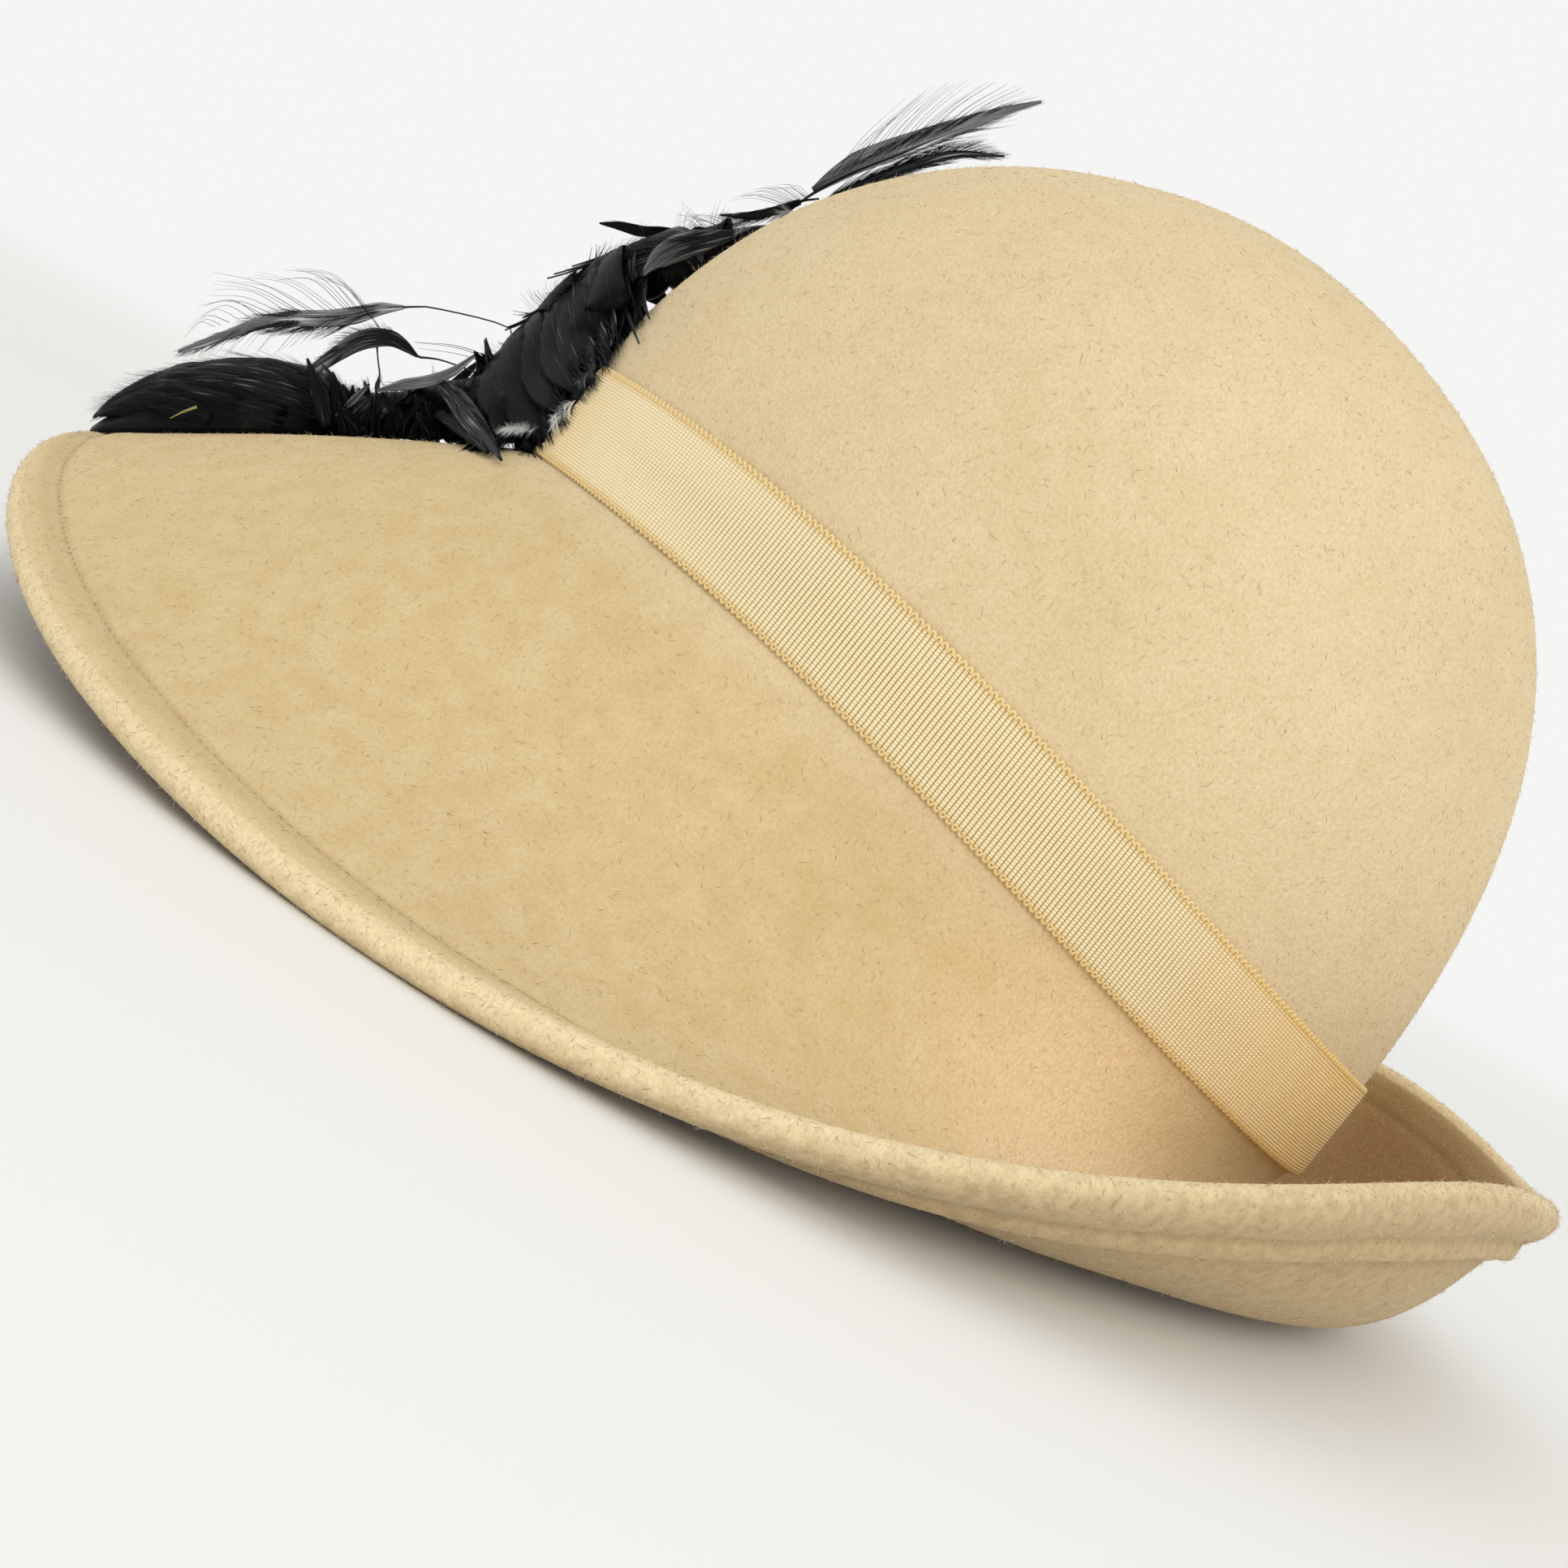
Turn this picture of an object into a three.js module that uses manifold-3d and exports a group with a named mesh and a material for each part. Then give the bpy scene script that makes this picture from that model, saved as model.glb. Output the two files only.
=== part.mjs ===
// A felt hat with a round crown, a wide brim that dips at the front and rolls up at the back,
// a ribbed ribbon band and a trim of dark feathers at the front.
// Millimetres, +Z up. +X is the wearer's left, -Y the front.
// The hat is modelled with its crown upright and then tipped to the way it rests on a table.
import * as THREE from 'three';
import { mergeVertices } from 'three/addons/utils/BufferGeometryUtils.js';
import Module from 'manifold-3d';

const wasm = await Module();
wasm.setup();

const DEG = Math.PI / 180;

// ---------- driving dimensions ----------
const CROWN = {
  length: 204,        // front to back over the felt, at the foot of the crown
  width: 169.6,       // side to side at the foot
  height: 123.5,      // top of the crown above the middle of the foot
  forward: 9.6,       // the top sits this far in front of the middle
  egg: 0.011,         // share by which the front half is narrower than the back half
  frontFullness: 1.6, // powers of the dome's outline: 2 is an ellipse, more is fuller
  backFullness: 2.54,
  rise: 2.68,         // the same kind of power, for how the sides run up into the top
};
// The line where the brim leaves the crown waves up at the sides and down at front and back.
const FOOT_WAVE = { once: 1.8, twice: -3.8, thrice: -1.0 };
const FELT = 2.7;                  // one layer of felt
// The edge is turned under and stitched down, in a valley that dips below the felt.
const HEM = { width: 12.5, stitch: 9, valley: 5.5, dip: 0.5 };
const RIBBON = { width: 19.4, thick: 0.8, gap: 0.3 };
const REST_TILT = -13.7;           // degrees about X that the hat tips back when it is put down

// Brim sections from the front (turn 0) to the back (180), alike on the left and the right:
// width measured over the felt, and the slope where it leaves the crown, halfway out and at the rim.
const BRIM = [
  { turn: 0, width: 94.3, atCrown: -36.6, halfway: -39.8, atRim: -42.1 },
  { turn: 30, width: 95.3, atCrown: -42.6, halfway: -47.0, atRim: -42.8 },
  { turn: 60, width: 96.4, atCrown: -62.6, halfway: -47.0, atRim: -25.4 },
  { turn: 90, width: 94.3, atCrown: -86.2, halfway: -34.1, atRim: 11.9 },
  { turn: 110, width: 92.5, atCrown: -101.0, halfway: -17.1, atRim: 65.3 },
  { turn: 130, width: 89.1, atCrown: -112.7, halfway: 14.5, atRim: 99.7 },
  { turn: 150, width: 84.0, atCrown: -121.3, halfway: 41.4, atRim: 94.6 },
  { turn: 165, width: 80.7, atCrown: -125.0, halfway: 50.0, atRim: 76.2 },
  { turn: 180, width: 80.1, atCrown: -125.0, halfway: 50.3, atRim: 71.2 },
];

// ---------- feather trim ----------
// Places on the felt: turn round the hat, run up the crown (plus) or out over the brim (minus),
// and height off the felt. Each row is one section of a feather or a roll: wide is its full width,
// thick its full thickness, and roll turns its width from flat on the felt (0) to on edge (90).
const CLEAR = 0.8;                 // feathers lie this far off the felt
const ROPE = [
  { turn: -2, run: -41, off: 5.4, wide: 3, thick: 3 },
  { turn: 0, run: -36, off: 4.8, wide: 8.5, thick: 7.5 },
  { turn: 1, run: -27, off: 5.7, wide: 10, thick: 9.5 },
  { turn: 2, run: -16, off: 7.2, wide: 13, thick: 12 },
  { turn: 4, run: -7, off: 9.0, wide: 15.5, thick: 14.5 },
  { turn: 5, run: 14, off: 9.8, wide: 16, thick: 15.5 },
  { turn: 5, run: 24, off: 9.3, wide: 16, thick: 15.5 },
  { turn: 4, run: 34, off: 8.6, wide: 15, thick: 14.5 },
  { turn: 2, run: 43, off: 7.0, wide: 12, thick: 11.5 },
  { turn: 0, run: 51, off: 4.9, wide: 8, thick: 7.5 },
  { turn: -1, run: 58, off: 2.8, wide: 3, thick: 3 },
];
// Feathers wound round the roll raise ridges, which come round once in so many of its steps.
const WRAP = { ridges: 2, steps: 6.5, depth: 0.1 };

// Loose ends that stand off the roll.
const TUFTS = [
  { turn: 2, run: 50, off: 7, tipTurn: 0, tipRun: 38.5, tipOff: 21, wide: 6 },
  { turn: 3, run: 36, off: 12, tipTurn: -6, tipRun: 22, tipOff: 20, wide: 7 },
  { turn: 3, run: 22, off: 12, tipTurn: -8, tipRun: 8, tipOff: 19, wide: 7 },
  { turn: 4, run: -8, off: 10, tipTurn: 30, tipRun: -9, tipOff: 2.2, wide: 7 },
  { turn: 2, run: -22, off: 9, tipTurn: -4, tipRun: -14, tipOff: 19, wide: 5 },
  { turn: 1, run: -36, off: 7, tipTurn: -2, tipRun: -30, tipOff: 18, wide: 5 },
];

// A low mound of feathers on the front of the brim, spread to the wearer's right. Each row goes
// across it: its middle and half width round the hat, its height, and how far its locks' tips jut out.
const FAN = [
  { run: -45, middle: -2, half: 3, high: 7, jut: 0 },
  { run: -50, middle: -3, half: 7, high: 15.5, jut: 0 },
  { run: -57, middle: -3, half: 10, high: 17.5, jut: 0 },
  { run: -66, middle: -4, half: 12, high: 17, jut: 0 },
  { run: -74, middle: -4, half: 13, high: 14.5, jut: 0.5 },
  { run: -79, middle: -4, half: 12.5, high: 11, jut: 2 },
  { run: -83, middle: -4, half: 11, high: 6, jut: 4.5 },
];
const FAN_LOCKS = { count: 8, ridge: 1.6 };
const FAN_ENDS = { root: -42, rootHigh: 2, tip: -86, tipHigh: 0.8 };
const FAN_UNDER = [1, 0.6, 0.2, -0.2, -0.6];   // places across its flat underside, as shares of half

const LONG_HACKLE = [
  { turn: 4, run: 15, off: 17.1, wide: 0.9, thick: 0.9, roll: 0 },
  { turn: 1, run: -18, off: 27.2, wide: 0.9, thick: 0.9, roll: 30 },
  { turn: -1, run: -31, off: 28.2, wide: 2, thick: 1, roll: 60 },
  { turn: -2, run: -42, off: 28.5, wide: 11, thick: 1.1, roll: 60 },
  { turn: -3, run: -58, off: 27.5, wide: 15, thick: 1.1, roll: 60 },
  { turn: -4, run: -72, off: 25.5, wide: 12, thick: 1, roll: 55 },
  { turn: -4, run: -85, off: 21.5, wide: 2, thick: 0.8, roll: 50 },
];
const SHORT_HACKLE = [
  { turn: 2.5, run: -13, off: 14.8, wide: 0.9, thick: 0.9, roll: 0 },
  { turn: 1, run: -25, off: 18.6, wide: 0.9, thick: 0.9, roll: 30 },
  { turn: 2, run: -29, off: 18.6, wide: 4, thick: 1, roll: 55 },
  { turn: 3, run: -36, off: 18.2, wide: 9, thick: 1.1, roll: 55 },
  { turn: 3, run: -43, off: 19, wide: 6, thick: 1, roll: 50 },
  { turn: 3, run: -49, off: 20.8, wide: 1.5, thick: 0.8, roll: 45 },
];
const TOP_PLUME = [
  { turn: -1, run: 58.5, off: 2.5, wide: 1, thick: 1, roll: 0 },
  { turn: -2, run: 68, off: 1.2, wide: 1, thick: 1, roll: 0 },
  { turn: -1, run: 75, off: 3.6, wide: 2, thick: 1, roll: 40 },
  { turn: 0, run: 84, off: 8, wide: 10, thick: 1.1, roll: 70 },
  { turn: 0, run: 97, off: 12, wide: 13, thick: 1.1, roll: 75 },
  { turn: 0, run: 109, off: 14.5, wide: 9, thick: 1, roll: 75 },
  { turn: 0, run: 118, off: 15.5, wide: 1.5, thick: 0.8, roll: 75 },
];
const LOW_PLUME = [
  { turn: -3, run: 58, off: 1.4, wide: 1, thick: 1, roll: 0 },
  { turn: -6, run: 72, off: 1.3, wide: 1, thick: 1, roll: 0 },
  { turn: -5, run: 82, off: 5.2, wide: 5, thick: 1.1, roll: 15 },
  { turn: -3, run: 95, off: 6.2, wide: 9, thick: 1.1, roll: 25 },
  { turn: -1, run: 104, off: 6.2, wide: 6, thick: 1, roll: 25 },
  { turn: 0, run: 112, off: 6, wide: 1.5, thick: 0.8, roll: 25 },
];
const CROWN_FEATHER = [
  { turn: 1, run: 75, off: 0.6, wide: 1, thick: 1, roll: 0 },
  { turn: 1, run: 70, off: 2.6, wide: 5, thick: 1.1, roll: 50 },
  { turn: 0, run: 64, off: 6.5, wide: 8, thick: 1.1, roll: 70 },
  { turn: 0, run: 58, off: 10, wide: 1.5, thick: 0.8, roll: 70 },
];

// ---------- fineness of the solids ----------
const AROUND = 64;                 // sections round the hat
const DOME_STEPS = 14;             // rings from the foot of the crown to its top
const BRIM_RINGS = { top: 10, underside: 9 };
const BRIM_STEPS = 32;             // steps that add up a brim section
const ROPE_STEPS = 34;
const ROPE_SIDES = 9;
const BLADE_SIDES = 4;

// ---------- smooth values round the hat ----------
// A closed cubic spline through one column of the brim table, mirrored from 180 to 360 degrees.
function roundTheHat(column) {
  const rows = [...BRIM, ...BRIM.slice(1, -1).reverse().map((row) => ({ ...row, turn: 360 - row.turn }))];
  const n = rows.length;
  const gap = rows.map((row, i) => (i + 1 < n ? rows[i + 1].turn : 360) - row.turn);
  const value = rows.map((row) => row[column]);
  const bend = new Array(n).fill(0);
  for (let pass = 0; pass < 80; pass++) {
    for (let i = 0; i < n; i++) {
      const before = (i + n - 1) % n;
      const after = (i + 1) % n;
      const kink = (value[after] - value[i]) / gap[i] - (value[i] - value[before]) / gap[before];
      bend[i] = (6 * kink - gap[before] * bend[before] - gap[i] * bend[after]) / (2 * (gap[before] + gap[i]));
    }
  }
  return (turn) => {
    const at = ((turn % 360) + 360) % 360;
    let i = n - 1;
    while (rows[i].turn > at) i--;
    const after = (i + 1) % n;
    const t = (at - rows[i].turn) / gap[i];
    const curve = (s) => (s * s * s - s) * gap[i] * gap[i] / 6;
    return value[i] * (1 - t) + value[after] * t + bend[i] * curve(1 - t) + bend[after] * curve(t);
  };
}
const brimWidth = roundTheHat('width');
const slopeAtCrown = roundTheHat('atCrown');
const slopeHalfway = roundTheHat('halfway');
const slopeAtRim = roundTheHat('atRim');

// ---------- the hat's surfaces ----------
function footHeight(turn) {
  const a = turn * DEG;
  const { once, twice, thrice } = FOOT_WAVE;
  return once * Math.cos(a) + twice * Math.cos(2 * a) + thrice * Math.cos(3 * a);
}

// Outline of the crown's foot seen from above, drawn in by inset.
function footPlan(turn, inset = 0) {
  const a = turn * DEG;
  return {
    x: (CROWN.width / 2 - inset) * Math.sin(a) * (1 - CROWN.egg * Math.cos(a)),
    y: -(CROWN.length / 2 - inset) * Math.cos(a),
  };
}

// Direction, seen from above, in which the brim leaves the crown.
function outward(turn) {
  const x = Math.sin(turn * DEG) / CROWN.width;
  const y = -Math.cos(turn * DEG) / CROWN.length;
  return { x: x / Math.hypot(x, y), y: y / Math.hypot(x, y) };
}

// A point on the dome: lift runs from 0 at the foot to 1 at the top.
function crownPoint(turn, lift, inset = 0) {
  const back = (1 - Math.cos(turn * DEG)) / 2;
  const fullness = CROWN.frontFullness * (1 - back) + CROWN.backFullness * back;
  const reach = Math.pow(Math.max(0, 1 - Math.pow(lift, CROWN.rise)), 1 / fullness);
  const plan = footPlan(turn, inset);
  return new THREE.Vector3(
    plan.x * reach,
    plan.y * reach - CROWN.forward * lift,
    footHeight(turn) * (1 - lift) + (CROWN.height - inset) * lift,
  );
}

// A brim section as a function: run is the distance from the crown over the felt's top face,
// deep the depth below that face.
function brimSection(turn) {
  const width = brimWidth(turn);
  const first = slopeAtCrown(turn);
  const last = slopeAtRim(turn);
  const bow = slopeHalfway(turn) - (first + last) / 2;
  const slope = (t) => (first + (last - first) * t + 4 * bow * t * (1 - t)) * DEG;
  const out = [0];
  const up = [0];
  for (let i = 0; i < BRIM_STEPS; i++) {
    const middle = slope((i + 0.5) / BRIM_STEPS);
    out.push(out[i] + Math.cos(middle) * width / BRIM_STEPS);
    up.push(up[i] + Math.sin(middle) * width / BRIM_STEPS);
  }
  const foot = footPlan(turn);
  const away = outward(turn);
  return (run, deep = 0) => {
    const t = Math.min(Math.max(run / width, 0), 1);
    const i = Math.min(Math.floor(t * BRIM_STEPS), BRIM_STEPS - 1);
    const f = t * BRIM_STEPS - i;
    const angle = slope(t);
    const r = out[i] + (out[i + 1] - out[i]) * f + deep * Math.sin(angle);
    const z = up[i] + (up[i + 1] - up[i]) * f - deep * Math.cos(angle);
    return new THREE.Vector3(foot.x + away.x * r, foot.y + away.y * r, footHeight(turn) + z);
  };
}

// A crown section as a function of the run up the felt from the foot.
function crownSection(turn) {
  const points = [];
  const runs = [0];
  for (let i = 0; i <= 4 * DOME_STEPS; i++) {
    const lift = Math.pow(Math.sin(i * 90 * DEG / (4 * DOME_STEPS)), 2 / CROWN.rise);
    points.push(crownPoint(turn, lift));
    if (i > 0) runs.push(runs[i - 1] + points[i].distanceTo(points[i - 1]));
  }
  return (run) => {
    let i = 0;
    while (i < runs.length - 2 && runs[i + 1] < run) i++;
    return points[i].clone().lerp(points[i + 1], (run - runs[i]) / (runs[i + 1] - runs[i]));
  };
}

// A place over the felt, and the direction straight off the felt there.
function place(turn, run, off = 0) {
  const section = run < 0 ? brimSection(turn) : crownSection(turn);
  const step = 0.5;
  const at = (r) => (run < 0 ? section(-r) : section(r));
  const from = run < 0 ? Math.min(run, -step) : Math.max(run, step);
  const along = at(from + step).sub(at(from - step)).normalize();
  const away = outward(turn);
  const normal = new THREE.Vector3(-away.y, away.x, 0).cross(along).normalize();
  return { point: at(run).addScaledVector(normal, off), normal };
}

// ---------- meshes ----------
// A closed skin from rings of points, each ring turning clockwise about the way the rings run.
// With poles the first and the last ring are single points; without, the last meets the first.
function skin(rings, poles) {
  const positions = rings.flat().flatMap((p) => [p.x, p.y, p.z]);
  const start = rings.map((_, i) => rings.slice(0, i).flat().length);
  const index = [];
  for (let i = 0; i < rings.length - (poles ? 1 : 0); i++) {
    const j = (i + 1) % rings.length;
    const many = [rings[i].length > 1, rings[j].length > 1];
    const count = Math.max(rings[i].length, rings[j].length);
    for (let k = 0; k < count; k++) {
      const next = (k + 1) % count;
      const near = many[0] ? [start[i] + k, start[i] + next] : [start[i], start[i]];
      const far = many[1] ? [start[j] + k, start[j] + next] : [start[j], start[j]];
      if (many[0]) index.push(near[0], far[0], near[1]);
      if (many[1]) index.push(near[1], far[0], far[1]);
    }
  }
  const geometry = new THREE.BufferGeometry();
  geometry.setAttribute('position', new THREE.Float32BufferAttribute(positions, 3));
  geometry.setIndex(index);
  return geometry;
}

const spread = (from, to, steps) => Array.from({ length: steps }, (_, i) => from + (to - from) * i / steps);
const turns = spread(0, 360, AROUND);

// Crown and brim are one piece of felt: over the crown, out to the rim, round it and back inside.
function feltBody() {
  const sections = turns.map(brimSection);
  const widths = turns.map(brimWidth);
  const lifts = spread(90, 0, DOME_STEPS).slice(1).map((a) => Math.pow(Math.sin(a * DEG), 2 / CROWN.rise));
  const dome = (lift, inset) => turns.map((turn) => crownPoint(turn, lift, inset));
  const brim = (share, deep) => turns.map((_, i) => sections[i](share * (widths[i] - HEM.width), deep));
  const edge = (fromRim, deep) => turns.map((_, i) => sections[i](widths[i] - fromRim, deep));
  const roll = [0, 45, 90, 135, 180].map((a) => a * DEG);
  return skin([
    [crownPoint(0, 1)],
    ...lifts.map((lift) => dome(lift, 0)),
    ...spread(0, 1, BRIM_RINGS.top).map((share) => brim(share, 0)),
    edge(HEM.width, 0),
    edge(HEM.stitch, HEM.dip),
    edge(HEM.valley, 0),
    ...roll.map((a) => edge(FELT * (1 - Math.sin(a)), FELT * (1 - Math.cos(a)))),
    edge(HEM.stitch, 2 * FELT - HEM.dip),
    edge(HEM.width, 2 * FELT),
    ...spread(1, 0, BRIM_RINGS.underside).map((share) => brim(share, FELT)),
    brim(0, FELT),
    ...lifts.reverse().map((lift) => dome(lift, FELT)),
    [crownPoint(0, 1, FELT)],
  ], true);
}

// The band is one closed loop that follows the foot of the crown.
function ribbonBand() {
  const low = RIBBON.gap;
  const high = low + RIBBON.width;
  const corner = (above, proud) => turns.map((turn) => (
    crownPoint(turn, above / (CROWN.height - footHeight(turn)), -proud)));
  const inside = RIBBON.gap;
  const outside = inside + RIBBON.thick;
  return skin([
    corner(low, outside), corner(low, inside), corner((low + high) / 2, inside),
    corner(high, inside), corner(high, outside), corner((low + high) / 2, outside),
  ], false);
}

// A feather or roll swept through the rows of its table. swell can make its section uneven.
function swept(rows, steps, sides, swell = () => 1) {
  const places = rows.map((row) => place(row.turn, row.run, row.off));
  const path = new THREE.CatmullRomCurve3(places.map((p) => p.point), false, 'centripetal');
  const rings = [];
  for (let i = 1; i < steps; i++) {
    const t = i / steps;
    const at = t * (rows.length - 1);
    const k = Math.min(Math.floor(at), rows.length - 2);
    const mix = (column) => THREE.MathUtils.lerp(rows[k][column] ?? 0, rows[k + 1][column] ?? 0, at - k);
    const along = path.getTangent(t);
    const normal = places[k].normal.clone().lerp(places[k + 1].normal, at - k);
    normal.addScaledVector(along, -normal.dot(along)).normalize();
    normal.applyAxisAngle(along, mix('roll') * DEG);
    const across = normal.clone().cross(along);
    const centre = path.getPoint(t);
    rings.push(spread(0, 2 * Math.PI, sides).map((a) => {
      const size = swell(i, a) / 2;
      return centre.clone()
        .addScaledVector(normal, mix('thick') * size * Math.cos(a))
        .addScaledVector(across, mix('wide') * size * Math.sin(a));
    }));
  }
  return skin([[path.getPoint(0)], ...rings, [path.getPoint(1)]], true);
}

// Several closed skins joined to one.
function fused(geometries) {
  const solids = geometries.map((geometry) => {
    const merged = mergeVertices(geometry);
    return new wasm.Manifold(new wasm.Mesh({
      numProp: 3,
      vertProperties: new Float32Array(merged.attributes.position.array),
      triVerts: new Uint32Array(merged.index.array),
    }));
  });
  const mesh = solids.reduce((whole, solid) => whole.add(solid)).getMesh();
  const geometry = new THREE.BufferGeometry();
  geometry.setAttribute('position', new THREE.Float32BufferAttribute(mesh.vertProperties, 3));
  geometry.setIndex(new THREE.Uint32BufferAttribute(mesh.triVerts, 1));
  return geometry;
}

// A short pointed feather end from its root to its tip.
function tuft({ turn, run, off, tipTurn, tipRun, tipOff, wide }) {
  const row = (t, bow, share) => ({
    turn: turn + (tipTurn - turn) * t,
    run: run + (tipRun - run) * t,
    off: off + (tipOff - off) * t + bow,
    wide: wide * share,
    thick: 1.6,
    roll: 20,
  });
  return swept([row(0, 0, 0.5), row(0.35, 1, 1), row(0.7, 0.8, 0.7), row(1, 0, 0.1)], 5, BLADE_SIDES);
}

// A single feather as a thin blade.
const feather = (rows) => swept(rows, 2 * rows.length, BLADE_SIDES);

function featherRope() {
  const turn = (i) => 2 * Math.PI * i / WRAP.steps;
  const wound = (i, a) => 1 + WRAP.depth * Math.cos(WRAP.ridges * a - turn(i));
  return fused([swept(ROPE, ROPE_STEPS, ROPE_SIDES, wound), ...TUFTS.map(tuft)]);
}

// The fan's locks are ridges that run from its root to their own tips.
function featherFan() {
  const ring = ({ run, middle, half, high, jut }) => {
    const over = spread(0, 180, 2 * FAN_LOCKS.count).map((a, k) => {
      const ridge = k % 2;
      const proud = ridge * Math.min(FAN_LOCKS.ridge, high / 2);
      return place(
        middle - half * Math.cos(a * DEG),
        run - jut * ridge,
        CLEAR + high * Math.sin(a * DEG) + proud,
      ).point;
    });
    const under = FAN_UNDER.map((side) => place(middle + half * side, run, CLEAR).point);
    return [...over, ...under];
  };
  const end = (row, run, off) => [place(row.middle, run, off).point];
  return skin([
    end(FAN[0], FAN_ENDS.root, CLEAR + FAN_ENDS.rootHigh),
    ...FAN.map(ring),
    end(FAN[FAN.length - 1], FAN_ENDS.tip, CLEAR + FAN_ENDS.tipHigh),
  ], true);
}

const felt = new THREE.MeshStandardMaterial({ color: 0xd9c08e, roughness: 0.95, metalness: 0 });
const ribbon = new THREE.MeshStandardMaterial({ color: 0xe9c987, roughness: 0.6, metalness: 0 });
const plumage = new THREE.MeshStandardMaterial({ color: 0x14161c, roughness: 0.5, metalness: 0 });

function piece(name, geometry, material) {
  const mesh = new THREE.Mesh(geometry, material);
  mesh.name = name;
  return mesh;
}

const hat = new THREE.Group();
hat.add(piece('felt_body', feltBody(), felt));
hat.add(piece('ribbon_band', ribbonBand(), ribbon));
hat.add(piece('feather_rope', featherRope(), plumage));
hat.add(piece('feather_fan', featherFan(), plumage));
hat.add(piece('long_hackle', feather(LONG_HACKLE), plumage));
hat.add(piece('short_hackle', feather(SHORT_HACKLE), plumage));
hat.add(piece('top_plume', feather(TOP_PLUME), plumage));
hat.add(piece('low_plume', feather(LOW_PLUME), plumage));
hat.add(piece('crown_feather', feather(CROWN_FEATHER), plumage));
hat.rotation.x = REST_TILT * DEG;

// The origin is on the table, under the middle of the hat.
const object = new THREE.Group();
object.add(hat);
const box = new THREE.Box3().setFromObject(object, true);
const middle = box.getCenter(new THREE.Vector3());
hat.position.set(-middle.x, -middle.y, -box.min.z);

export default object;
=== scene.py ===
# %% [markdown]
# # A felt hat with a ribbon and feathers
# The part is a soft felt hat: a round crown, a wide brim that dips at the front and rolls up at
# the back, a ribbed ribbon round the crown's foot and a trim of dark feathers. The CAD solids
# give the sizes. This lesson makes each piece again with the surface of the real thing, in the
# same place. We load the solids first, and a helper reads their box.

# %% Load the frame
import math
import random

import bmesh
import bpy
import numpy as np
from mathutils import Matrix, Vector


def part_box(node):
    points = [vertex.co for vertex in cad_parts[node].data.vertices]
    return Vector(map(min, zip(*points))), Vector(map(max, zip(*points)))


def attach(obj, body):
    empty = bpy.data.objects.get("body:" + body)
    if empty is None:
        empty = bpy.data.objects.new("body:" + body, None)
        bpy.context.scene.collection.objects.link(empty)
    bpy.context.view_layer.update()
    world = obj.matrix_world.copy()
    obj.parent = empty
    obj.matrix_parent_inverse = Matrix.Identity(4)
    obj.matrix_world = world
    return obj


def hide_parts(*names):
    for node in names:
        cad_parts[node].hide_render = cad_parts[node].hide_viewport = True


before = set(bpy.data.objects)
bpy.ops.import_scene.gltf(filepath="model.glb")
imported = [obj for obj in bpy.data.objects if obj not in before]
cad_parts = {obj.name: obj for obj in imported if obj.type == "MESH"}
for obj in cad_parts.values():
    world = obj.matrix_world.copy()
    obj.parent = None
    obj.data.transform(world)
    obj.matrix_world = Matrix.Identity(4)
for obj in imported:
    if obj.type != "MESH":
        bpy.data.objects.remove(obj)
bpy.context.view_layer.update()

# %% [markdown]
# ## The hat's own sizes
# A milliner blocks the felt over a wooden form, and two things set its shape: the plan of the
# head and how each section of the brim slopes. We hold both as named numbers in millimetres,
# with the crown upright, and turn the result to the way the hat rests on a table at the end.

# %% Sizes in millimetres and degrees
CROWN = {"length": 204, "width": 169.6, "height": 123.5, "forward": 9.6, "egg": 0.011,
         "front_fullness": 1.6, "back_fullness": 2.54, "rise": 2.68}
FOOT_WAVE = (1.8, -3.8, -1.0)      # the crown's foot rises and falls once, twice, three times
FELT = 2.7                         # one layer of felt
HEM = {"width": 12.5, "stitch": 9.0, "dip_above": 0.5, "dip_below": 0.9}
RIBBON = {"width": 19.4, "thick": 0.8, "gap": 0.3}
REST_TILT = math.radians(-13.7)
MM = 0.001

# Turn round the hat from its front, the brim's width, then its slope at the crown, halfway and
# at the rim. The left and the right side are alike.
BRIM = [
    (0, 94.3, -36.6, -39.8, -42.1), (30, 95.3, -42.6, -47.0, -42.8), (60, 96.4, -62.6, -47.0, -25.4),
    (90, 94.3, -86.2, -34.1, 11.9), (110, 92.5, -101.0, -17.1, 65.3), (130, 89.1, -112.7, 14.5, 99.7),
    (150, 84.0, -121.3, 41.4, 94.6), (165, 80.7, -125.0, 50.0, 76.2), (180, 80.1, -125.0, 50.3, 71.2),
]


def round_the_hat(column):
    """A smooth closed curve through one column of the brim table."""
    rows = BRIM + [(360 - row[0],) + row[1:] for row in BRIM[-2:0:-1]]
    turn = np.array([row[0] for row in rows], float)
    value = np.array([row[column] for row in rows], float)
    gap = np.diff(np.append(turn, 360))
    bend = np.zeros(len(rows))
    for _ in range(80):                # passes, many more than the bends need to settle
        for i in range(len(rows)):
            after = (i + 1) % len(rows)
            kink = (value[after] - value[i]) / gap[i] - (value[i] - value[i - 1]) / gap[i - 1]
            pull = 6 * kink - gap[i - 1] * bend[i - 1] - gap[i] * bend[after]
            bend[i] = pull / (2 * (gap[i - 1] + gap[i]))

    def at(where):
        where = np.mod(where, 360)
        i = np.searchsorted(turn, where, side="right") - 1
        after = (i + 1) % len(rows)
        t = (where - turn[i]) / gap[i]
        curve = lambda s: (s ** 3 - s) * gap[i] ** 2 / 6
        return value[i] * (1 - t) + value[after] * t + bend[i] * curve(1 - t) + bend[after] * curve(t)
    return at


brim_width, slope_at_crown, slope_halfway, slope_at_rim = (round_the_hat(i) for i in (1, 2, 3, 4))
print("Brim widths round the hat, mm:", np.round(brim_width(np.arange(0, 181, 45)), 1))

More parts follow.
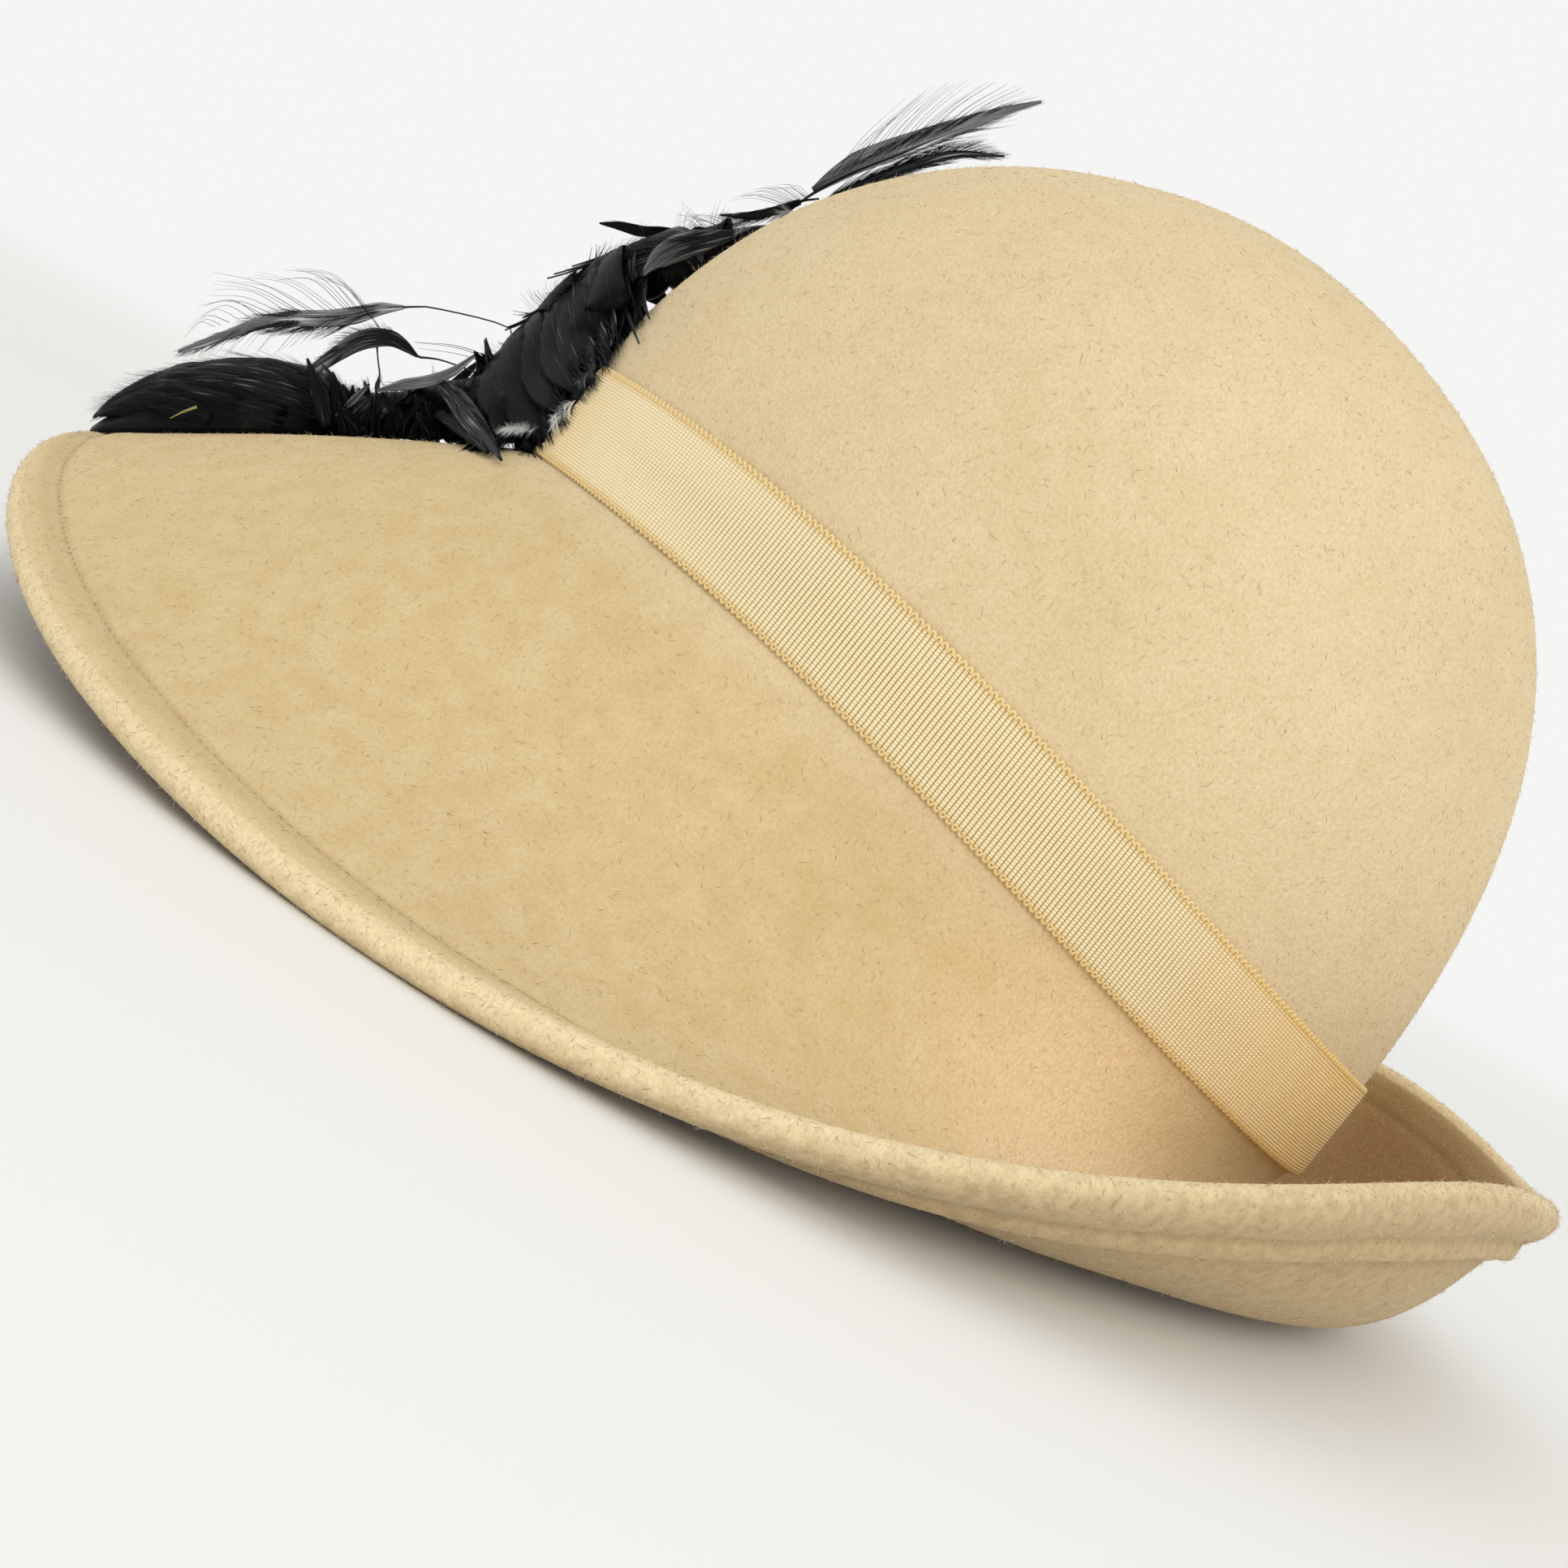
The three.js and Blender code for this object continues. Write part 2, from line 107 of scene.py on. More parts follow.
# %% [markdown]
# ## Places on the felt
# Everything on a hat is set out on its felt: so far round, so far up the crown or out over the
# brim, so far off the surface. Three functions give such places for whole arrays at once, which
# is quick and keeps every later piece, from stitch to feather, tied to the same surface.

# %% Crown, brim and places
def foot_height(turn):
    a = np.radians(turn)
    return sum(wave * np.cos((k + 1) * a) for k, wave in enumerate(FOOT_WAVE))


def foot_plan(turn, inset=0):
    a = np.radians(turn)
    x = (CROWN["width"] / 2 - inset) * np.sin(a) * (1 - CROWN["egg"] * np.cos(a))
    return x, -(CROWN["length"] / 2 - inset) * np.cos(a)


def outward(turn):
    """The direction, seen from above, in which the brim leaves the crown."""
    x, y = np.sin(np.radians(turn)) / CROWN["width"], -np.cos(np.radians(turn)) / CROWN["length"]
    return x / np.hypot(x, y), y / np.hypot(x, y)


def crown_point(turn, lift, inset=0):
    """A point on the dome: lift runs from 0 at the foot to 1 at the top."""
    back = (1 - np.cos(np.radians(turn))) / 2
    fullness = CROWN["front_fullness"] * (1 - back) + CROWN["back_fullness"] * back
    reach = np.clip(1 - lift ** CROWN["rise"], 0, 1) ** (1 / fullness)
    x, y = foot_plan(turn, inset)
    height = foot_height(turn) * (1 - lift) + (CROWN["height"] - inset) * lift
    return np.stack(np.broadcast_arrays(x * reach, y * reach - CROWN["forward"] * lift, height), -1)


def brim_point(turn, run, deep=0, steps=32):
    """A point run out over the brim's top face and deep below it."""
    turn, run, deep = np.broadcast_arrays(np.asarray(turn, float), run, deep)
    width, first, last = brim_width(turn), slope_at_crown(turn), slope_at_rim(turn)
    bow = slope_halfway(turn) - (first + last) / 2
    slope = lambda t: np.radians(first + (last - first) * t + 4 * bow * t * (1 - t))
    out, up = np.zeros(turn.shape), np.zeros(turn.shape)
    for i in range(steps):
        share = np.clip(run / width * steps - i, 0, 1) * width / steps
        out += share * np.cos(slope((i + 0.5) / steps))
        up += share * np.sin(slope((i + 0.5) / steps))
    lean = slope(np.clip(run / width, 0, 1))
    (x, y), (ox, oy) = foot_plan(turn), outward(turn)
    out += deep * np.sin(lean)
    return np.stack([x + ox * out, y + oy * out, foot_height(turn) + up - deep * np.cos(lean)], -1)


def crown_run(turn, run):
    """A point a run up the crown from its foot, measured along the felt."""
    lifts = np.sin(np.radians(np.linspace(0, 90, 57))) ** (2 / CROWN["rise"])
    turn, run = np.broadcast_arrays(np.asarray(turn, float), run)
    found = []
    for t, r in zip(turn.ravel(), run.ravel()):
        points = crown_point(t, lifts)
        runs = np.append(0, np.cumsum(np.linalg.norm(np.diff(points, axis=0), axis=1)))
        found.append([np.interp(r, runs, points[:, k]) for k in range(3)])
    return np.array(found).reshape(turn.shape + (3,))


def on_felt(turn, run):
    return brim_point(turn, -run) if run < 0 else crown_run(turn, run)


def place(turn, run, off=0):
    """A point over the felt, up the crown (plus) or out over the brim (minus), and the way off it."""
    middle = min(run, -0.5) if run < 0 else max(run, 0.5)
    along = on_felt(turn, middle + 0.499) - on_felt(turn, middle - 0.499)
    x, y = outward(turn)
    normal = np.cross([-y, x, 0], along)
    normal /= np.linalg.norm(normal)
    return on_felt(turn, run) + off * normal, normal


print("A place on the brim and its normal:", *(np.round(v, 2) for v in place(90, -40)))

# %% [markdown]
# ## The felt
# The hat is one piece of fur felt, blocked hot and wet over a form, with its edge folded under
# and stitched down. A swept grid fits that: rings run from the crown's top out to the rim, round
# it and back inside, so the wall has its real thickness and closes at two poles. The seam pulls
# the edge into a soft valley on both faces, and the raw cut edge shows on the underside.

# %% Unevenness and the seam's valley
AROUND = 360                       # points in each ring
turns = np.arange(AROUND) * 360.0 / AROUND
RIPPLE = 0.3                       # mm, the slow unevenness of hand-blocked felt


def bell(value, middle, half):
    """A smooth bump of height 1, so wide on each side of its middle."""
    return np.exp(-((value - middle) / half) ** 2)


def ripple(turn, run):
    a = np.radians(turn)
    waves = np.sin(3 * a + run / 23) * np.cos(run / 31 + 1)
    waves = waves + 0.6 * np.sin(7 * a - run / 17) + 0.4 * np.sin(13 * a + run / 11)
    return RIPPLE * waves / 2


def hem_valley(from_rim, deep):
    """Depth of the seam's valley, with a slight bulge of the turned edge beside it."""
    tight = 1 + 0.35 * np.sin(np.radians(turns) * 29) * np.sin(np.radians(turns) * 5)
    return deep * (bell(from_rim, HEM["stitch"], 1.5) * tight - 0.4 * bell(from_rim, 4.2, 2.4))


print("Depth of the seam's valley, mm:", np.round(hem_valley(HEM["stitch"], HEM["dip_above"])[:4], 2))

# %% Rings of the felt
DOME_RINGS, BRIM_RINGS, HEM_RINGS, UNDER_RINGS = 46, 44, 14, 33
TOP_FADE = 8                       # the ripple fades out over the last eighth of the crown
RAW_EDGE = ((0.35, 2 * FELT - 0.3), (0.4, FELT + 0.6), (0.15, FELT))  # mm past the hem, and how deep
rim = brim_width(turns)
flat_brim = rim - HEM["width"]
ragged = 0.3 * np.sin(np.radians(turns) * 37) * np.sin(np.radians(turns) * 11 + 1)


def dome_ring(lift, inset):
    return crown_point(turns, lift, inset + ripple(turns, lift * 150) * min(1, TOP_FADE * (1 - lift)))


def brim_ring(run, deep):
    return brim_point(turns, run, deep + ripple(turns, -run))


lifts = np.sin(np.radians(np.linspace(90, 0, DOME_RINGS + 1)[1:])) ** (2 / CROWN["rise"])
hem_steps = np.linspace(HEM["width"], FELT, HEM_RINGS)
rings = [crown_point(0, 1)[None]]
rings += [dome_ring(lift, 0) for lift in lifts]
rings += [brim_ring(share * flat_brim, 0) for share in np.linspace(0, 1, BRIM_RINGS + 2)[1:-1]]
rings += [brim_ring(rim - step, hem_valley(step, HEM["dip_above"])) for step in hem_steps]
rim_start = len(rings)
for a in np.radians(np.arange(15, 180, 15)):
    rings.append(brim_ring(rim - FELT * (1 - math.sin(a)), FELT * (1 - math.cos(a))))
rim_rings = len(rings) - rim_start
rings += [brim_ring(rim - step, 2 * FELT - hem_valley(step, HEM["dip_below"])) for step in hem_steps[::-1]]
rings += [brim_ring(rim - (HEM["width"] + step + ragged), deep) for step, deep in RAW_EDGE]
rings += [brim_ring(share * flat_brim, FELT) for share in np.linspace(1, 0, UNDER_RINGS + 1)[1:]]
rings += [dome_ring(lift, FELT) for lift in lifts[::-2][:-1]]
rings += [crown_point(0, 1, FELT)[None]]
print("The felt has", len(rings), "rings")

# %% [markdown]
# ## How the hat rests
# Put down on a table, the hat tips back until it stands on both sides of its brim and on the
# back roll. The tilt is known from the solids, and the shift follows from their box.

# %% Turn it to the way it rests
def tipped(vectors):
    """Turns directions from the upright hat to the resting one."""
    v = np.asarray(vectors, float)
    c, s = math.cos(REST_TILT), math.sin(REST_TILT)
    return np.stack([v[..., 0], v[..., 1] * c - v[..., 2] * s, v[..., 1] * s + v[..., 2] * c], -1)


felt_low, felt_high = (np.array(corner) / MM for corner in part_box("felt_body"))
resting = tipped(np.concatenate(rings))
rest_shift = (felt_low + felt_high - resting.min(0) - resting.max(0)) / 2


def to_table(points):
    """Millimetres on the upright hat to metres on the table."""
    return (tipped(points) + rest_shift) * MM


print("The resting hat is shifted by, mm:", np.round(rest_shift, 2))

# %% [markdown]
# ## Meshes, colours and nodes
# A few helpers serve every piece. One closes a skin over rings of points, one stores numbers at
# the points of a mesh, one turns a hex colour to the linear values that shaders use, one adds a
# node with its settings and links, and one hands a finished piece to the frame: what it rides
# on and what it replaces.

# %% Objects and their points
def put(name, data):
    """An object in the scene, at the origin."""
    obj = bpy.data.objects.new(name, data)
    bpy.context.scene.collection.objects.link(obj)
    return obj


def smooth_piece(name, mesh):
    mesh.polygons.foreach_set("use_smooth", [True] * len(mesh.polygons))
    return put(name, mesh)


def keep(mesh, name, values):
    """Stores a number or a vector at every point of a mesh."""
    values = np.asarray(values, float)
    kind, slot = ("FLOAT_VECTOR", "vector") if values.ndim == 2 else ("FLOAT", "value")
    mesh.attributes.new(name, kind, "POINT").data.foreach_set(slot, values.ravel())


def triangles(obj):
    return sum(len(p.vertices) - 2 for p in obj.data.polygons)


def finish_piece(obj, slot, *replaced):
    """Hands a finished piece to the frame."""
    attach(obj, "root")
    if replaced:
        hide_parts(*replaced)
    print(f"{obj.name}: {triangles(obj)} triangles")


# %% Closed skins
def closed_skin(name, rings, poles=True):
    """A mesh over rings of points; with poles the first and last ring are single points."""
    start = np.append(0, np.cumsum([len(ring) for ring in rings]))
    faces = []
    for i in range(len(rings) - (1 if poles else 0)):
        j = (i + 1) % len(rings)
        count = max(len(rings[i]), len(rings[j]))
        k = np.arange(count)
        near, far = (start[n] + (k if len(rings[n]) > 1 else 0 * k) for n in (i, j))
        near_next, far_next = (np.roll(corner, -1) for corner in (near, far))
        corners = [near, far, far_next, near_next]
        if len(rings[i]) == 1:
            corners = corners[:3]
        elif len(rings[j]) == 1:
            corners = [near, far, near_next]
        faces += np.stack(corners, -1).tolist()
    mesh = bpy.data.meshes.new(name)
    mesh.from_pydata(np.concatenate(rings).tolist(), [], faces)
    return smooth_piece(name, mesh)


felt = closed_skin("felt_hat", [to_table(ring) for ring in rings])
print("felt_hat:", triangles(felt), "triangles")

# %% Colours and nodes
def srgb(text):
    """A hex colour such as #d9c08e as linear values."""
    parts = [int(text[i:i + 2], 16) / 255 for i in (1, 3, 5)]
    return [p / 12.92 if p <= 0.04045 else ((p + 0.055) / 1.055) ** 2.4 for p in parts] + [1.0]


def add(tree, kind, inputs=None, **settings):
    """Adds a node. Settings are its properties. Each input is a value, a socket or another node,
    which stands for the first output that it shows."""
    node = tree.nodes.new(kind)
    for name, value in settings.items():
        setattr(node, name, value)
    for socket, value in (inputs or {}).items():
        if isinstance(value, bpy.types.Node):
            value = next(output for output in value.outputs if output.enabled)
        if isinstance(value, bpy.types.NodeSocket):
            tree.links.new(value, node.inputs[socket])
        else:
            node.inputs[socket].default_value = value
    return node


print("Camel felt in linear values:", np.round(srgb("#d9c08e"), 3))

# %% [markdown]
# ## Where light and shade are painted on the felt
# The seam's valley, the raw edge and a band by the seam get painted shade, and the turned edge
# gets painted light. The underside and the inside of the back roll are painted darker as shade,
# and the felt beside the roll is painted lighter as light. Each such place is a number at the
# skin's points, one for its ring times one for its turn, which the material can read.

# %% Marks on the felt
level = np.arange(len(rings))
from_back = np.abs(turns - 180)


def by_ring(top, hem, edge, hem_below, inside=()):
    """One number for each ring: the top face, the hem, the rim, the hem below, the first ones inside."""
    values = [np.full(rim_start - HEM_RINGS, top), hem * np.ones(HEM_RINGS), edge * np.ones(rim_rings),
              hem_below * np.ones(HEM_RINGS), inside]
    values = np.concatenate(values)
    return np.append(values, np.zeros(len(rings) - len(values)))


def mark(name, values, around=np.ones(AROUND)):
    keep(felt.data, name, np.concatenate([value * around[:len(ring)] for value, ring in zip(values, rings)]))


# the seam's bell sets painted shade; the other two set painted light on the turned edge, most on the rim's
# upper half
seam, hem_light = bell(hem_steps, HEM["stitch"], 0.8), 0.4 * bell(hem_steps, FELT, 1.8)
rim_light_profile = np.interp(np.linspace(0, 1, rim_rings), (0, 0.25, 0.5, 1), (1.2, 1.6, 1.3, 0.4))
# painted shade: the underside is painted darker
mark("under", np.clip((level - rim_start) / rim_rings, 0, 1))
mark("brim", np.clip((level - DOME_RINGS) / 6, 0, 1) * (level < len(rings) - DOME_RINGS // 2))
# painted shade in the seam's valley, and a painted shadow line under the raw edge
mark("crease_shade", by_ring(0, seam, 0, seam[::-1], (0.5, 1, 1, 0.6, 0.2)))
mark("shaded", by_ring(0, bell(hem_steps, 6.8, 1.8), 0, 0))
# painted light on the turned edge and the hem beside it
mark("rim_light", by_ring(0, hem_light, rim_light_profile, hem_light[::-1]))
mark("napped", by_ring(1, 1.4, 4.0, 1.6, np.full(36, 0.7)))
inside_roll = np.clip((level - DOME_RINGS - 14) / 16, 0, 1) * (level < rim_start)
beside_roll = np.clip((level - DOME_RINGS + 1) / 3, 0, 1) * (level < rim_start - HEM_RINGS)
# painted shade inside the back roll
mark("trough_shade", inside_roll, np.clip((44 - from_back) / 16, 0, 1))
# painted light on the felt beside the back roll
mark("painted_glow", beside_roll, bell(from_back, 57, 15))
print("Marks on the felt:", [name for name in felt.data.attributes.keys() if name.islower()][-8:])

# %% [markdown]
# ## Fur felt
# Hat felt is matted rabbit fur, sanded to a short nap. The eye reads a warm camel that drifts
# slowly in tone, a soft bloom where light grazes the nap, and a fine speckle of single darker
# and lighter hairs. Sheen gives the bloom, broad noise the drift, and fine noise the speckle.
# The hairs are too fine to show, so the grain is drawn 1 mm wide.

# %% How a material is made
def new_material(name):
    """A material with an empty node tree."""
    material = bpy.data.materials.new(name)
    material.use_nodes = True
    material.node_tree.nodes.clear()
    return material, material.node_tree


def layered(tree, colour, *layers):
    """Lays colours over a first one. Each layer has the value that brings it in, where it starts
    and is full, how much it then covers, and its hex colour."""
    colour = srgb(colour)
    for value, low, high, most, paint in layers:
        cover = add(tree, "ShaderNodeMapRange", {0: value, 1: low, 2: high, 3: 0.0, 4: most})
        colour = add(tree, "ShaderNodeMix", {0: cover, 6: colour, 7: srgb(paint)}, data_type="RGBA")
    return colour


def close_material(material, colour, finish, height=None, strength=0.0, depth=0.0):
    """Ends a material with its shader; a height gives it a bump so many millimetres deep."""
    tree = material.node_tree
    shader = add(tree, "ShaderNodeBsdfPrincipled", {"Base Color": colour, **finish})
    if height:
        bump = add(tree, "ShaderNodeBump", {"Height": height, "Strength": strength, "Distance": depth * MM})
        tree.links.new(bump.outputs[0], shader.inputs["Normal"])
    add(tree, "ShaderNodeOutputMaterial", {"Surface": shader})
    print(material.name, "has", len(tree.nodes), "nodes")


print("Loaded with the frame:", len(bpy.data.materials), "materials")

# %% Fur felt material
fur_felt, tree = new_material("fur_felt")
where = add(tree, "ShaderNodeTexCoord").outputs["Object"]
fibres = add(tree, "ShaderNodeMapping", {0: where, 3: (1, 2.2, 1.5)})
under, brim, crease_shade, rim_light, trough_shade, shaded, painted_glow = (
    add(tree, "ShaderNodeAttribute", attribute_name=name).outputs["Fac"]
    for name in ("under", "brim", "crease_shade", "rim_light", "trough_shade", "shaded", "painted_glow"))
drift, cloud, mottle, grain, fine_nap, soft_nap = (        # each with its size in millimetres
    add(tree, "ShaderNodeTexNoise", {"Vector": at, "Scale": 1 / (size * MM), "Detail": detail})
    for at, size, detail in (
        (where, 45, 3), (where, 6, 4), (where, 2.2, 4), (fibres, 1.1, 4), (fibres, 1.0, 4), (where, 3.0, 3)))
patches = add(tree, "ShaderNodeMapRange", {0: mottle, 1: 0.4, 2: 0.62})
patches_below = add(tree, "ShaderNodeMath", {0: under, 1: patches}, operation="MULTIPLY")
colour = layered(
    tree, "#ddcaa4",
    (brim, 0, 1, 1, "#d1ba88"),
    (drift, 0.35, 0.65, 0.3, "#c9b286"),
    (cloud, 0.35, 0.65, 0.3, "#e6d6b2"),
    # painted shade on the underside
    (under, 0, 1, 0.85, "#b59f7d"),
    # painted shade inside the back roll
    (trough_shade, 0, 1, 0.9, "#96704a"),
    # painted light beside the back roll
    (painted_glow, 0, 1, 0.8, "#f6dcb4"),
    (shaded, 0, 1, 0.5, "#bda97e"),
    # painted light on the turned edge
    (rim_light, 0, 1.6, 0.95, "#f2e0b8"),
    (patches_below, 0, 1, 0.4, "#8f7a5e"),
    (grain, 0.3, 0.7, 0.4, "#b89c6c"),
    # painted shade in the seam's valley and under the raw edge
    (crease_shade, 0.2, 1, 0.25, "#7d6743"),
)
nap = add(tree, "ShaderNodeMath", {0: fine_nap, 1: soft_nap}, operation="ADD")
close_material(fur_felt, colour, {
    "Roughness": 0.95, "Specular IOR Level": 0.15,
    "Sheen Weight": 0.25, "Sheen Roughness": 0.45, "Sheen Tint": srgb("#fff1d2"),
}, nap, 0.5, 0.6)
felt.data.materials.append(fur_felt)
finish_piece(felt, "felt", "felt_body")

# %% [markdown]
# ## Growing pieces with Geometry Nodes
# Ribs, loops, stitches, barbs and hairs repeat hundreds of times along a path or over a surface.
# A small node tree places one of them wherever the path says, so that its spacing stays a number
# with a name. Each tree ends in Realize Instances and Set Material, and its result is kept as a
# plain mesh.

# %% Paths and what grows on them
SOCKETS = {float: "NodeSocketFloat", int: "NodeSocketInt", bpy.types.Material: "NodeSocketMaterial"}


def new_tree(name, sizes):
    """A geometry tree with a named input for each size; returns it and its inputs."""
    tree = bpy.data.node_groups.new(name, "GeometryNodeTree")
    tree.interface.new_socket("Geometry", in_out="INPUT", socket_type="NodeSocketGeometry")
    tree.interface.new_socket("Geometry", in_out="OUTPUT", socket_type="NodeSocketGeometry")
    for label, value in sizes.items():
        kind = next(SOCKETS[kind] for kind in SOCKETS if isinstance(value, kind))
        tree.interface.new_socket(label, in_out="INPUT", socket_type=kind)
    return tree, add(tree, "NodeGroupInput").outputs


def path_mesh(name, splines, closed=False):
    """Bare lines whose points carry fields: each spline is a dict of arrays, with its points as at."""
    edges, count = [], 0
    for spline in splines:
        n = len(spline["at"])
        edges += [(count + k, count + (k + 1) % n) for k in range(n if closed else n - 1)]
        count += n
    mesh = bpy.data.meshes.new(name)
    mesh.from_pydata(np.concatenate([spline["at"] for spline in splines]).tolist(), edges, [])
    for key in splines[0]:
        if key != "at":
            keep(mesh, key, np.concatenate([spline[key] for spline in splines]))
    return mesh


def grow(name, source, tree, sizes):
    """Runs a tree on a source mesh and keeps what it makes as a plain mesh."""
    seed = put(name + "_source", source)
    modifier = seed.modifiers.new(name, "NODES")
    modifier.node_group = tree
    for item in tree.interface.items_tree:
        if item.in_out == "INPUT" and item.name in sizes:
            modifier[item.identifier] = sizes[item.name]
    ready = bpy.context.evaluated_depsgraph_get()
    grown = seed.evaluated_get(ready)
    mesh = bpy.data.meshes.new_from_object(grown, preserve_all_data_layers=True, depsgraph=ready)
    bpy.data.objects.remove(seed)
    mesh.name = name
    return smooth_piece(name, mesh)


print("Trees take inputs of", len(SOCKETS), "kinds besides their path")

# %% Parts of a tree
def stations(tree, path, by, size):
    """Points along a path: by Count so many, or by Length one every so far."""
    line = add(tree, "GeometryNodeMeshToCurve", {0: path})
    return add(tree, "GeometryNodeResampleCurve", {0: line, by: size}, mode=by.upper())


def strand(tree, start, middle, end, radius, taper=0.0, sides=5, steps=6, along="along"):
    """A round strand on a bowed line, thinner towards its end by the taper."""
    bow = add(tree, "GeometryNodeCurveQuadraticBezier", {0: steps, 1: start, 2: middle, 3: end})
    factor = add(tree, "GeometryNodeSplineParameter")
    bow = add(tree, "GeometryNodeStoreNamedAttribute", {0: bow, "Name": along, "Value": factor})
    share = add(tree, "ShaderNodeMath", {0: factor, 1: -taper, 2: 1.0}, operation="MULTIPLY_ADD")
    thin = add(tree, "ShaderNodeMath", {0: radius, 1: share}, operation="MULTIPLY")
    profile = add(tree, "GeometryNodeCurvePrimitiveCircle", {"Resolution": sides, "Radius": 1.0})
    return add(tree, "GeometryNodeCurveToMesh", {0: bow, 1: profile, "Scale": thin, "Fill Caps": True})


def stand(tree, points, thing, up, off, tone=None, **more):
    """Stands a thing at every point, its length along up and its face along off, with its own tone."""
    turned = add(tree, "FunctionNodeAxesToRotation", {0: up, 1: off}, primary_axis="Z", secondary_axis="Y")
    stood = {0: points, "Instance": thing, "Rotation": turned, **more}
    stood = add(tree, "GeometryNodeInstanceOnPoints", stood)
    if tone is None:
        return stood
    toned = {0: stood, "Name": "tone", "Value": tone}
    return add(tree, "GeometryNodeStoreNamedAttribute", toned, domain="INSTANCE")


def end_tree(tree, geometry, material):
    """Realize Instances and Set Material close every tree."""
    real = add(tree, "GeometryNodeRealizeInstances", {0: geometry})
    done = add(tree, "GeometryNodeSetMaterial", {0: real, 2: material})
    add(tree, "NodeGroupOutput", {0: done})
    print("The tree", tree.name, "has", len(tree.nodes), "nodes")


print("Helpers for a tree:", ", ".join(part.__name__ for part in (stations, strand, stand, end_tree)))

# %% [markdown]
# ## Petersham ribbon
# The band is petersham: fine weft wound round fat warp cords, so it shows close ribs from edge
# to edge, rows of tiny beads where the weft goes over, and small scallops where it turns at the
# edge. The dark line between the ribs is painted shade on the ground below them, and the beads
# are painted darker between them as shade. It is more golden at the front and the back and along
# its edges. A thin band closes the ground, each rib is its own bar, and each scallop a small arch.

# %% Petersham material
BEAD = 0.6                         # mm from one weft thread to the next
GOLDEN_SPANS = ((-0.055, -0.083), (0.07, 0.115))  # m from the middle, towards the front and the back
petersham, tree = new_material("petersham_ribbon")
where = add(tree, "ShaderNodeTexCoord").outputs["Object"]
front_back = add(tree, "ShaderNodeSeparateXYZ", {0: where}).outputs["Y"]
along, tone = (
    add(tree, "ShaderNodeAttribute", attribute_name=name).outputs["Fac"] for name in ("along", "tone"))
beads = add(tree, "ShaderNodeMath", {0: along, 1: 2 * math.pi * RIBBON["width"] / BEAD}, operation="MULTIPLY")
beads = add(tree, "ShaderNodeMath", {0: beads}, operation="SINE")
# more golden towards the front and the back
ends = [add(tree, "ShaderNodeMapRange", {0: front_back, 1: start, 2: full}) for start, full in GOLDEN_SPANS]
golden = add(tree, "ShaderNodeMath", {0: ends[0], 1: ends[1]}, operation="MAXIMUM")
to_edge = add(tree, "ShaderNodeMath", {0: along, 1: 0.5}, operation="SUBTRACT")
to_edge = add(tree, "ShaderNodeMath", {0: to_edge}, operation="ABSOLUTE")
colour = layered(
    tree, "#f6e8bf",
    (golden, 0, 1, 1, "#f0cb86"),
    (tone, 0, 1, 0.25, "#f8ecc8"),
    # painted shade between the beads
    (beads, -0.2, -1, 0.35, "#c6a667"),
    (to_edge, 0.44, 0.5, 0.6, "#dab562"),
)
satin = {"Roughness": 0.55, "Specular IOR Level": 0.4, "Sheen Weight": 0.2}
close_material(petersham, colour, satin, beads, 0.6, 0.15)

# %% Plain thread materials
PLAIN_THREADS = {                  # noise size in mm, its detail, two colours and the roughness
    # the ground between the ribs: dark colours that are painted shade in the grooves
    "ribbon_ground_shade": (0.8, 2, "#7d6638", "#a3874f", 0.9),
    "sewing_thread": (0.5, 1, "#8d7650", "#a8905f", 0.7),
}
for name, (size, detail, dark, light, rough) in PLAIN_THREADS.items():
    material, tree = new_material(name)
    where = add(tree, "ShaderNodeTexCoord").outputs["Object"]
    threads = add(tree, "ShaderNodeTexNoise", {"Vector": where, "Scale": 1 / (size * MM), "Detail": detail})
    close_material(material, layered(tree, dark, (threads, 0, 1, 1, light)), {"Roughness": rough})
ribbon_ground, sewing_thread = (bpy.data.materials[name] for name in PLAIN_THREADS)

# %% Ground of the ribbon and its paths
ribbon_turns = np.linspace(0, 360, 721)[:-1]


def ribbon_line(above, proud):
    """A line round the crown, so far above its foot and off the felt."""
    return crown_point(ribbon_turns, above / (CROWN["height"] - foot_height(ribbon_turns)), -proud)


INNER, OUTER = 0.3, 0.75           # mm off the felt
low, high = RIBBON["gap"], RIBBON["gap"] + RIBBON["width"]
middle = (low + high) / 2
ground = [(low + 0.5, OUTER), (low + 0.5, INNER), (middle, INNER),
          (high - 0.5, INNER), (high - 0.5, OUTER), (middle, OUTER)]
ribbon_base = closed_skin("ribbon_ground", [to_table(ribbon_line(*corner)) for corner in ground], poles=False)
ribbon_base.data.materials.append(ribbon_ground)
bottom, top = (to_table(ribbon_line(above, 0.7)) for above in (low + 0.3, high - 0.3))
upward = top - bottom
off_felt = np.cross(np.roll(bottom, -1, 0) - np.roll(bottom, 1, 0), upward)
off_felt /= np.linalg.norm(off_felt, axis=1)[:, None]
edge_up = upward / np.linalg.norm(upward, axis=1)[:, None]
band_length = np.linalg.norm(np.roll(bottom, -1, 0) - bottom, axis=1).sum() / MM
print("Ribbon length round the crown, mm:", round(band_length, 1))

